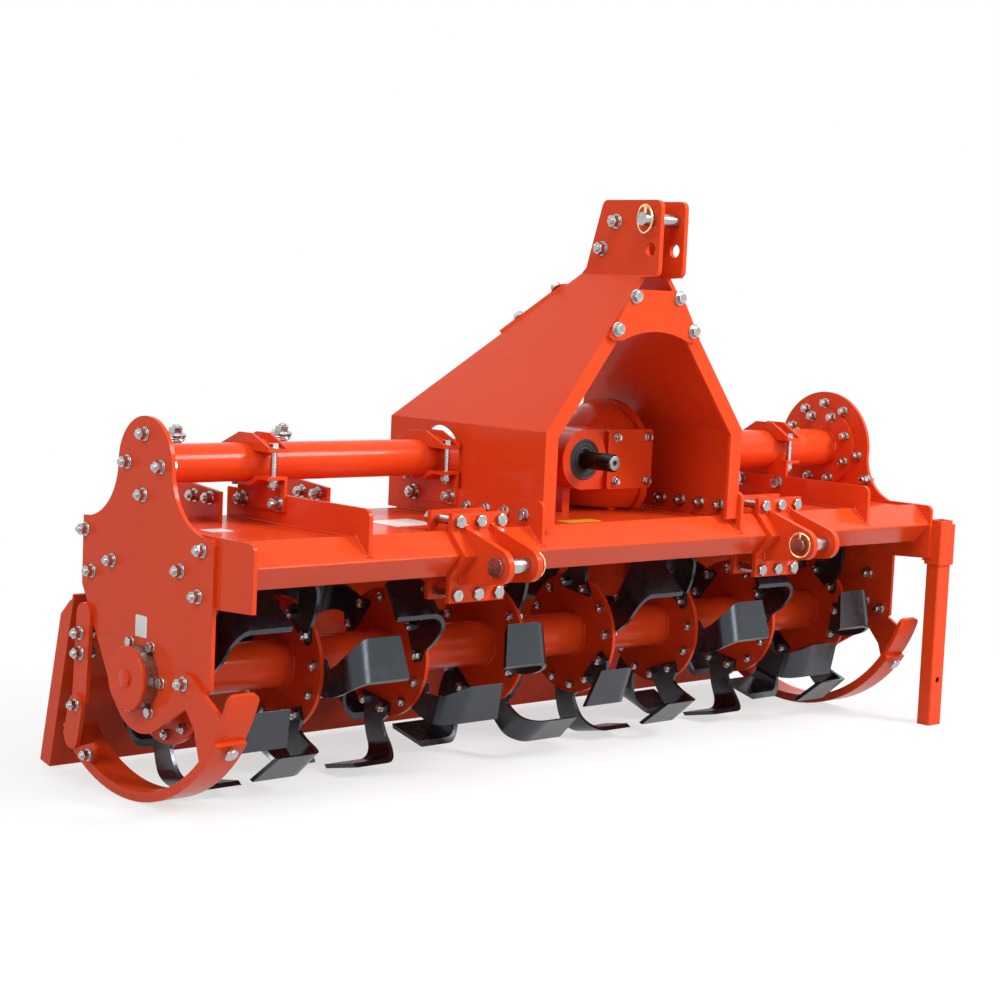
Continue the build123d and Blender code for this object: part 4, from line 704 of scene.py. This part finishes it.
def ring_clip(name, centre, pin_way, reach, tilt=0.22):
    """A lynch pin: a peg up from the pin's end and a sprung ring round it."""
    s = Shape()
    centre = Vector(centre)
    path = circle(centre, Vector(pin_way) + AXIS_Y * tilt, reach, 40, CLIP_SQUASH)
    sweep(s, path, CLIP_WIRE_R, 10, True)
    s.make(name + "_ring", "frame", "zinc", BRASS)
    s = Shape()
    rod(s, centre, centre + UP * (reach - 1), PEG_R)
    rod(s, centre + UP * (reach - 6), centre + UP * (reach + 2), PEG_HEAD_R)
    s.make(name + "_peg", "frame", "zinc", BRASS)


def hitch():
    s = Shape()
    for side in (-1, 1):
        for dx in HITCH_BOLT_X:
            for z in HITCH_BOLT_Z:
                x = side * (BRACKET_MID + dx)
                bolt(s, (x, BRACKET_FACE, z), FRONT, BOLT_XL, False)
                rod(s, (x, BRACKET_FACE + 2, z), (x, BACK_FACE - 2, z), BOLT_BODY_R)
                nut(s, (x, BACK_FACE, z), REAR, BOLT_XL, 6)
    s.make("hitch_bolts", "frame", "zinc", ZINC)
    s = Shape()
    y = BRACKET_FACE - LUG_BEAD_OUT
    for side in (-1, 1):
        for reach in (LUG_INNER, LUG_INNER + LUG_T):
            for way in (-1, 1):
                x = side * BRACKET_MID + way * reach
                weld(s, (x, y, LUG_WELD_LOW), (x, y, LUG_WELD_HIGH), LUG_BEAD)
        for way in (-1, 1):
            x0 = side * BRACKET_MID + way * LUG_INNER
            x1 = side * BRACKET_MID + way * (LUG_INNER + LUG_T)
            weld(s, (x0, y, LUG_WELD_TOP), (x1, y, LUG_WELD_TOP), LUG_TOP_BEAD)
    s.make("hitch_welds", "frame", "red_paint", RED)
    inner = high("hitch_pin_left").x - CLIP_FROM_END
    ring_clip("lower_clip_left", (inner, PIN_Y, PIN_Z), RIGHT, CLIP_REACH)
    ring_clip("lower_clip_right", (-inner, PIN_Y, PIN_Z), LEFT, CLIP_REACH, -0.3)


# ------------------------------------------------------------------ mast
CHEEK_BOLT_Z, CHEEK_BOLT_Y = 286.0, (-93, -147, -200, -254)
CHEEK_T, RIB_T, GUSSET_T = 10, 8, 8
GUSSET_BOLTS = [(60, 698), (104.5, 635)]             # (x, z)
REAR_BOLTS = [(62, 700), (104, 640)]
REAR_LOW, REAR_TOP = Vector((0, 154, 442)), Vector((0, -142, 750))
EAR_OUT, EAR_BOLTS = 38.0, [(-220, 839), (-185, 787)]
TOP_PIN_Y, TOP_PIN_Z, TOP_CLIP_IN, TOP_CLIP_REACH = -312.0, 843.0, 9, 26.0
MAST_WELD_Y, MAST_WELD_Z, MAST_BEAD = (-236.0, 112), 263.5, 3.2
GUSSET_WASHER = 1.12  # wider than usual


def mast():
    s = Shape()
    for side, out in ((-1, LEFT), (1, RIGHT)):
        for y in CHEEK_BOLT_Y:
            bolt(s, (side * (CHEEK_OUT + RIB_T), y, CHEEK_BOLT_Z), out, BOLT_L)
            nut(s, (side * (CHEEK_OUT - CHEEK_T), y, CHEEK_BOLT_Z), -out, BOLT_L)
        for x, z in GUSSET_BOLTS:
            bolt(s, (side * x, GUSSET_Y, z), FRONT, BOLT_L, True, GUSSET_WASHER)
        along = (REAR_TOP - REAR_LOW).normalized()
        away = Vector((0, along.z, -along.y))
        for x, z in REAR_BOLTS:
            foot = REAR_LOW.lerp(REAR_TOP, (z - REAR_LOW.z) / (REAR_TOP.z - REAR_LOW.z))
            bolt(s, AXIS_X * side * x + foot + away * GUSSET_T, away, BOLT_L)
    for y, z in EAR_BOLTS:
        nut(s, (-EAR_OUT, y, z), LEFT, BOLT_XL)
        rod(s, (-EAR_OUT + 2, y, z), (EAR_OUT - 2, y, z), BOLT_BODY_R)
        bolt(s, (EAR_OUT, y, z), RIGHT, BOLT_XL)
    s.make("mast_bolts", "frame", "zinc", ZINC)
    clip_x = low("top_link_pin").x + TOP_CLIP_IN
    ring_clip("top_clip", (clip_x, TOP_PIN_Y, TOP_PIN_Z), LEFT, TOP_CLIP_REACH)
    s = Shape()
    for side in (-1, 1):
        x = side * (CHEEK_OUT - CHEEK_T - 1)
        weld(s, (x, MAST_WELD_Y[0], MAST_WELD_Z), (x, MAST_WELD_Y[1], MAST_WELD_Z), MAST_BEAD)
    s.make("mast_welds", "frame", "red_paint", RED)


# ------------------------------------------------------------------ clamps, ribs and beam
CLAMP_MID = (-707.0, -300.0, 300.0, 707.0)
CLAMP_BOLT_Y, CLAMP_BOLT_R = (-53, 65), 6
CAP_EAR_TOP, SADDLE_EAR_LOW = 400.0, 344.0
FOOT_BOLT_Y, FOOT_BOLT_Z = (-50, 57), 300.0
CLAMP_FOOT = ((-691, LEFT), (-284, LEFT), (284, RIGHT), (691, RIGHT))
INNER_FEET = 400      # the feet nearer the middle than this are bolted to the mast's cheeks
FOOT_GRIP = 14
ROD_X = (-744.0, -500.0, 468.0, 712.0)
BRACKET_BOLT_Y, BRACKET_BOLT_Z = (57, 107), 303.0
BRACKET_IN, BRACKET_HALF_T = 16, 4
BEAM_Y, BEAM_Z, BEAM_REACH = -267.0, 226.0, 42.4
RIB_WELD_X = (-685, -677, -278, -270, 270, 278, 677, 685)
RIB_WELD_Y, RIB_WELD_Z = (-255, 112), 263.0
BEAM_CORNERS = [(0, BEAM_REACH), (-BEAM_REACH, 0), (0, -BEAM_REACH), (BEAM_REACH, 0)]
BEAM_WELD_IN = 0.97
TUBE_WELDS = ((low("cross_tube_left").x + 10.6, 35), (-138.8, 35), (202.8, 42), (888.4, 42))  # x, radius
SLEEVE_WELD = ((899.5, -293.6, 145), (899.5, -293.6, 224))
RIB_FRONT_RUN = 36
RIB_BEAD, DECK_BEAD, BEAM_BEAD, TUBE_BEAD, SLEEVE_BEAD = 3.2, 2.6, 3.4, 3.2, 3.0


def clamps():
    s = Shape()
    for x in CLAMP_MID:
        for y in CLAMP_BOLT_Y:
            bolt(s, (x, y, CAP_EAR_TOP), UP, BOLT_M)
            rod(s, (x, y, SADDLE_EAR_LOW + 1), (x, y, CAP_EAR_TOP - 1), CLAMP_BOLT_R)
            nut(s, (x, y, SADDLE_EAR_LOW), DOWN, BOLT_M)
    for x, way in CLAMP_FOOT:
        for y in FOOT_BOLT_Y:
            nut(s, (x, y, FOOT_BOLT_Z), way, BOLT_XL, 5)
            if abs(x) > INNER_FEET:
                bolt(s, (x - way.x * FOOT_GRIP, y, FOOT_BOLT_Z), -way, BOLT_XL)
    for x in ROD_X:
        web = x + math.copysign(BRACKET_IN, x)
        for y in BRACKET_BOLT_Y:
            nut(s, (web - BRACKET_HALF_T, y, BRACKET_BOLT_Z), LEFT, BOLT_L)
            bolt(s, (web + BRACKET_HALF_T, y, BRACKET_BOLT_Z), RIGHT, BOLT_L)
    s.make("clamp_bolts", "frame", "zinc", ZINC)
    s = Shape()
    crest = BEAM_Z + BEAM_REACH
    for x in RIB_WELD_X:
        lower = (x, BEAM_Y - RIB_FRONT_RUN, crest - RIB_FRONT_RUN)
        weld(s, (x, BEAM_Y - 1, crest - 1), lower, RIB_BEAD)
        weld(s, (x, RIB_WELD_Y[0], RIB_WELD_Z), (x, RIB_WELD_Y[1], RIB_WELD_Z), DECK_BEAD)
    for x in (low("front_beam").x, high("front_beam").x):
        stops = [(x, BEAM_Y + y * BEAM_WELD_IN, BEAM_Z + z * BEAM_WELD_IN) for y, z in BEAM_CORNERS]
        for i in range(len(stops) - 1):
            weld(s, stops[i], stops[i + 1], BEAM_BEAD)
    for x, radius in TUBE_WELDS:
        weld_ring(s, (x, TUBE_Y, TUBE_Z), RIGHT, radius + BEAD_OUT, TUBE_BEAD)
    weld(s, *SLEEVE_WELD, SLEEVE_BEAD)
    s.make("frame_welds", "frame", "red_paint", RED)


# ------------------------------------------------------------------ gearbox and shaft
COVER_BOLTS = [(86, 415), (175, 415), (86, 327), (176, 326)]     # (x, z)
SEAL_LIPS = ((38.5, 2.2, 0), (29.5, 1.8, 0.4), (22.8, 2.2, 0))   # reach, wire, sunk by
SHAFT_R, JOURNAL_R = 17.5, 20
GROOVE_R, GROOVE_FROM_END = 16.8, 36.0
SPLINES, SPLINE_ROOT = 6, 0.93
CREST_TO, ROOT_FROM = 0.36, 0.40     # of half the space from a spline to the next
END_FACE = [(14.2, -0.4), (14.2, 0.2), (13.6, 0.5), (5.6, 0.5), (4.6, -0.5), (4.4, -4), (14.2, -0.4)]
BREATHER_X, BREATHER_ACROSS, BREATHER_H = -70, 24, 9
BREATHER_CAP = [(8, 0), (11, 2), (11, 8), (9, 11), (0, 11.5)]
CASTING_R = 50


def spline(t):
    """A splined shaft's radius at a part t of a turn, with flanks a little sloped."""
    phase = abs((t * SPLINES) % 1 - 0.5)
    if phase < CREST_TO:
        return 1.0
    if phase > ROOT_FROM:
        return SPLINE_ROOT
    return 1.0 - (1 - SPLINE_ROOT) * (phase - CREST_TO) / (ROOT_FROM - CREST_TO)


def gearbox():
    s = Shape()
    for x, z in COVER_BOLTS:
        bolt(s, (x, COVER_Y, z), FRONT, BOLT_S)
    s.make("gearbox_cover_bolts", "frame", "zinc", ZINC)
    s = Shape()
    seal = low("gearbox_seal").y
    for reach, wire, sunk in SEAL_LIPS:
        path = [(x, seal + sunk, TUBE_Z + z) for x, z in around(reach, 64)]
        sweep(s, path, wire, 8, True)
    s.make("seal_lips", "frame", "seal_rubber", RUBBER)
    s = Shape()
    end = low("input_shaft").y
    back = high("input_shaft").y
    out = back - seal
    journal = [(JOURNAL_R - 0.8, 0), (JOURNAL_R, 0.8), (JOURNAL_R, out + 1), (SHAFT_R, out + 3.5)]
    lathe(s, (0, back, TUBE_Z), FRONT, journal, 48)
    stub = back - end - out - 1
    groove = stub - GROOVE_FROM_END
    profile = [
        (SHAFT_R, 0), (SHAFT_R, groove - 4), (GROOVE_R, groove - 3), (GROOVE_R, groove + 3),
        (SHAFT_R, groove + 4), (SHAFT_R, stub - 3.4),
        (14.8, stub - 0.3), (4.4, stub - 0.3), (1.2, stub - 4),
    ]
    lathe(s, (0, seal - 1, TUBE_Z), FRONT, profile, ROUND, spline)
    shaft = s.make("splined_shaft", "input", "shaft_black", DARK)
    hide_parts("input_shaft")
    s = Shape()
    lathe(s, (0, end + 0.5, TUBE_Z), FRONT, END_FACE, 48, capped=False)
    s.make("shaft_end_face", "input", "bare_steel", BARE)
    s = Shape()
    foot = TUBE_Z + CASTING_R - 1
    hexagon(s, (BREATHER_X, TUBE_Y, foot), UP, BREATHER_ACROSS, BREATHER_H)
    lathe(s, (BREATHER_X, TUBE_Y, foot + BREATHER_H), UP, BREATHER_CAP, 24)
    s.make("breather", "frame", "zinc", ZINC)


# ------------------------------------------------------------------ spring rods
EYE = Vector((0, 276, -20))
ROD_TIP = Vector((0, 204, 424))
ROD_LINE = (ROD_TIP - EYE).normalized()
ROD_LONG = (ROD_TIP - EYE).length
ROD_R, THREAD_FROM = 8, 300
EYE_PROFILE = [(5.0, -8), (13.0, -8), (14.0, -7), (14.0, 7), (13.0, 8), (6.4, 8), (6.4, -8)]
SPRING_FROM, SPRING_TO, COIL_R, WIRE_R, COILS = 352.5, 428.8, 16.8, 3.1, 6.5
COIL_STEPS = 28       # to a turn
FLAT_TURNS = 0.8      # at each end of a spring
SEAT_R, SEAT_THICK, ROD_NUT, ROD_NUT_H, ROD_NUT_ROLL = 21, 5, 24, 13, 0.3


def on_rod(x, far):
    """A place on the spring rod at x, at a distance up from its eye."""
    return EYE + ROD_LINE * far + AXIS_X * x


def coil(x):
    """A spring's wire, with its first and last turns nearly flat."""
    u, v, w = axes(ROD_LINE)
    path = []
    steps = int(COILS * COIL_STEPS)
    start, end = SPRING_FROM + WIRE_R, SPRING_TO - WIRE_R
    for k in range(steps + 1):
        turns = COILS * k / steps
        rise = min(1, max(0, (turns - FLAT_TURNS) / (COILS - 2 * FLAT_TURNS)))
        a = 2 * math.pi * turns
        sideways = (u * math.cos(a) + v * math.sin(a)) * COIL_R
        path.append(on_rod(x, start + (end - start) * rise) + sideways)
    return path


def spring_rods():
    rods, coils = Shape(), Shape()
    for x in ROD_X:
        lathe(rods, on_rod(x, 0), RIGHT, EYE_PROFILE, 28)
        lathe(rods, on_rod(x, 0), ROD_LINE, [(ROD_R, 11), (ROD_R, THREAD_FROM)], 20)
        thread(rods, on_rod(x, 0), ROD_LINE, ROD_R, THREAD_FROM, ROD_LONG, 20)
        washer(rods, on_rod(x, SPRING_TO), ROD_LINE, SEAT_R, SEAT_THICK)
        seat_top = on_rod(x, SPRING_TO + SEAT_THICK)
        hexagon(rods, seat_top, ROD_LINE, ROD_NUT, ROD_NUT_H, ROD_NUT_ROLL)
        sweep(coils, coil(x), WIRE_R, 10)
    rods = rods.make("threaded_rods", "board_rods", "zinc", ZINC)
    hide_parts("spring_rods")
    coils = coils.make("coil_springs", "board_rods", "zinc", ZINC)
    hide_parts("rod_springs")


# ------------------------------------------------------------------ skids, stand and labels
SHOE_X, SHOE_BOLT = (-916.0, 884.0), Vector((0, -221, -76))
SHOE_BOW, SHOE_OUTER_R = Vector((0, 25, 109)), 339.3      # the shoes' bow: its centre and outer radius
SHOE_HEAD = [(12.5, -1), (12.5, 1.4), (11.2, 2.8), (0, 3.1)]
SCREW_Y, SCREW_Z = -315.5, 180
LOCK_NUT, LOCK_NUT_H, SCREW_HEAD, SCREW_HEAD_H = 19, 6.4, 17, 7.4
LABEL_Z = 262.2       # just above the deck's face


def skids_and_stand():
    s = Shape()
    out = (SHOE_BOLT - SHOE_BOW).normalized()
    for x in SHOE_X:
        lathe(s, SHOE_BOW + out * SHOE_OUTER_R + AXIS_X * x, out, SHOE_HEAD, 28)
    s.make("shoe_bolts", "frame", "zinc", ZINC)
    s = Shape()
    face = high("stand_sleeve").x
    hexagon(s, (face, SCREW_Y, SCREW_Z), RIGHT, LOCK_NUT, LOCK_NUT_H, 0.3)
    head = face + LOCK_NUT_H
    hexagon(s, (head, SCREW_Y, SCREW_Z), RIGHT, SCREW_HEAD, SCREW_HEAD_H, 0.1, 0, EDGE_CUT)
    screw = s.make("stand_screw", "frame", "zinc", ZINC)
    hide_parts("stand_bolt")


def labels():
    """Blank ones: what the photograph's labels say is left off."""
    s = Shape()
    tab(s, (-88, -206, LABEL_Z), AXIS_X, AXIS_Y, 92, 34)
    s.make("blank_label_deck_yellow", "frame", None, YELLOW)
    s = Shape()
    tab(s, (-447, -104, LABEL_Z), (1, 0.03, 0), (-0.03, 1, 0), 108, 90)
    tab(s, (-846, -82, LABEL_Z), AXIS_X, AXIS_Y, 47, 38)
    tab(s, (PLATE_L - 0.2, 2.5, 89), -AXIS_Y, UP, 36, 38)
    s.make("blank_labels_white", "frame", None, LABEL)


plate_fasteners()
bearing()
rotor_fasteners()
hitch()
mast()
clamps()
gearbox()
spring_rods()
skids_and_stand()
labels()

# ------------------------------------------------------------------ floor, light, camera
WHITE = (1, 1, 1, 1)
FLOOR_HALF = 30.0
FLOOR_BOUNCE = 0.5                     # what the floor gives back to the underside
FLOOR_LIT = 0.9                        # what is seen of it, where shadows show
NEAR_WHITE, FAR_WHITE = 0.62, 1.0      # how much plain white is mixed in with the shadow
WHITE_FROM, WHITE_TO = 0.7, 2.4        # metres from the middle, from the one to the other


def seen_rays(tree):
    """1 on rays from the camera, off a glossy surface or through a clear one."""
    path = node(tree, "ShaderNodeLightPath")
    seen = path.outputs["Is Camera Ray"]
    for kind in ("Is Glossy Ray", "Is Transmission Ray"):
        either = node(tree, "ShaderNodeMath", operation="MAXIMUM")
        tree.links.new(seen, either.inputs[0])
        tree.links.new(path.outputs[kind], either.inputs[1])
        seen = either.outputs[0]
    return seen


def floor():
    """Pale, with the object's shadow near the middle, and plain white further out."""
    mesh = bpy.data.meshes.new("floor")
    corner_signs = ((-1, -1), (1, -1), (1, 1), (-1, 1))
    mesh.from_pydata([(x * FLOOR_HALF, y * FLOOR_HALF, 0) for x, y in corner_signs], [], [(0, 1, 2, 3)])
    o = bpy.data.objects.new("floor", mesh)
    SCENE.collection.objects.link(o)
    m, t, b = material("floor")
    b.inputs["Base Color"].default_value = (FLOOR_BOUNCE, FLOOR_BOUNCE, FLOOR_BOUNCE, 1)
    b.inputs["Roughness"].default_value = 0.8
    b.inputs["Specular IOR Level"].default_value = 0.0
    glow = node(t, "ShaderNodeEmission", Color=WHITE, Strength=1.0)
    lit = node(t, "ShaderNodeBsdfDiffuse", Color=(FLOOR_LIT, FLOOR_LIT, FLOOR_LIT, 1))
    far = node(t, "ShaderNodeVectorMath", operation="LENGTH")
    t.links.new(coords(t), far.inputs[0])
    whiteness = maprange(t, far.outputs["Value"], NEAR_WHITE, FAR_WHITE, WHITE_FROM, WHITE_TO)
    seen_floor = node(t, "ShaderNodeMixShader")
    t.links.new(whiteness, seen_floor.inputs[0])
    t.links.new(lit.outputs[0], seen_floor.inputs[1])
    t.links.new(glow.outputs[0], seen_floor.inputs[2])
    pick = node(t, "ShaderNodeMixShader")
    t.links.new(seen_rays(t), pick.inputs[0])
    t.links.new(b.outputs[0], pick.inputs[1])
    t.links.new(seen_floor.outputs[0], pick.inputs[2])
    t.links.new(pick.outputs[0], t.nodes["Material Output"].inputs["Surface"])
    o.data.materials.append(m)


floor()


def area_light(name, place, target, size, power):
    """A square lamp, in metres and watts, turned to face a point."""
    data = bpy.data.lights.new(name, "AREA")
    data.energy = power
    data.size = size
    o = bpy.data.objects.new(name, data)
    SCENE.collection.objects.link(o)
    o.location = place
    o.rotation_euler = (Vector(target) - Vector(place)).to_track_quat("-Z", "Y").to_euler()


for lamp in (
    ("key", (2.1, -3.1, 3.3), (0, 0, 0.4), 1.5, 190),
    ("top", (-0.9, -1.6, 4.2), (0, 0, 0.4), 2.0, 70),
    ("front", (0.2, -4.4, 1.2), (0, 0, 0.35), 1.6, 46),
    ("left", (-4.2, -0.9, 2.6), (0, 0, 0.5), 2.2, 74),
    ("right", (4.2, -0.6, 2.0), (0, 0, 0.5), 2.4, 24),
    ("back", (0.5, 4.2, 2.8), (0, 0, 0.5), 2.4, 70),
):
    area_light(*lamp)

WORLD_FILL = 0.27


def studio():
    """A white room: seen at full strength, and giving less light than that to the object."""
    world = bpy.data.worlds.new("studio")
    SCENE.world = world
    world.use_nodes = True
    t = world.node_tree
    fill = t.nodes["Background"]
    fill.inputs["Color"].default_value = WHITE
    fill.inputs["Strength"].default_value = WORLD_FILL
    backdrop = node(t, "ShaderNodeBackground", Color=WHITE, Strength=1.0)
    pick = node(t, "ShaderNodeMixShader")
    t.links.new(seen_rays(t), pick.inputs[0])
    t.links.new(fill.outputs[0], pick.inputs[1])
    t.links.new(backdrop.outputs[0], pick.inputs[2])
    t.links.new(pick.outputs[0], t.nodes["World Output"].inputs["Surface"])


studio()

# The photograph's camera, as fitted to it: millimetres, as for at(), and degrees.
CAMERA_PLACE = (-2978, -3139, 696)
YAW, PITCH_DOWN, ROLL = 42.43, 5.55, -2.50
LENS, SENSOR, SEES_TO = 77.2, 36.0, 60.0


def camera():
    yaw, pitch, roll = math.radians(YAW), math.radians(PITCH_DOWN), math.radians(ROLL)
    level = math.cos(pitch)
    ahead = Vector((math.sin(yaw) * level, math.cos(yaw) * level, -math.sin(pitch)))
    right = Vector((math.cos(yaw), -math.sin(yaw), 0))
    up = right.cross(ahead)
    rolled_right = math.cos(roll) * right - math.sin(roll) * up
    rolled_up = math.cos(roll) * up + math.sin(roll) * right
    data = bpy.data.cameras.new("camera")
    data.lens = LENS
    data.sensor_width = SENSOR
    data.clip_end = SEES_TO
    o = bpy.data.objects.new("camera", data)
    SCENE.collection.objects.link(o)
    turn = Matrix((rolled_right, rolled_up, -ahead)).transposed().to_4x4()
    o.matrix_world = Matrix.Translation(at(*CAMERA_PLACE)) @ turn
    SCENE.camera = o


camera()
SCENE.view_settings.view_transform = "Standard"
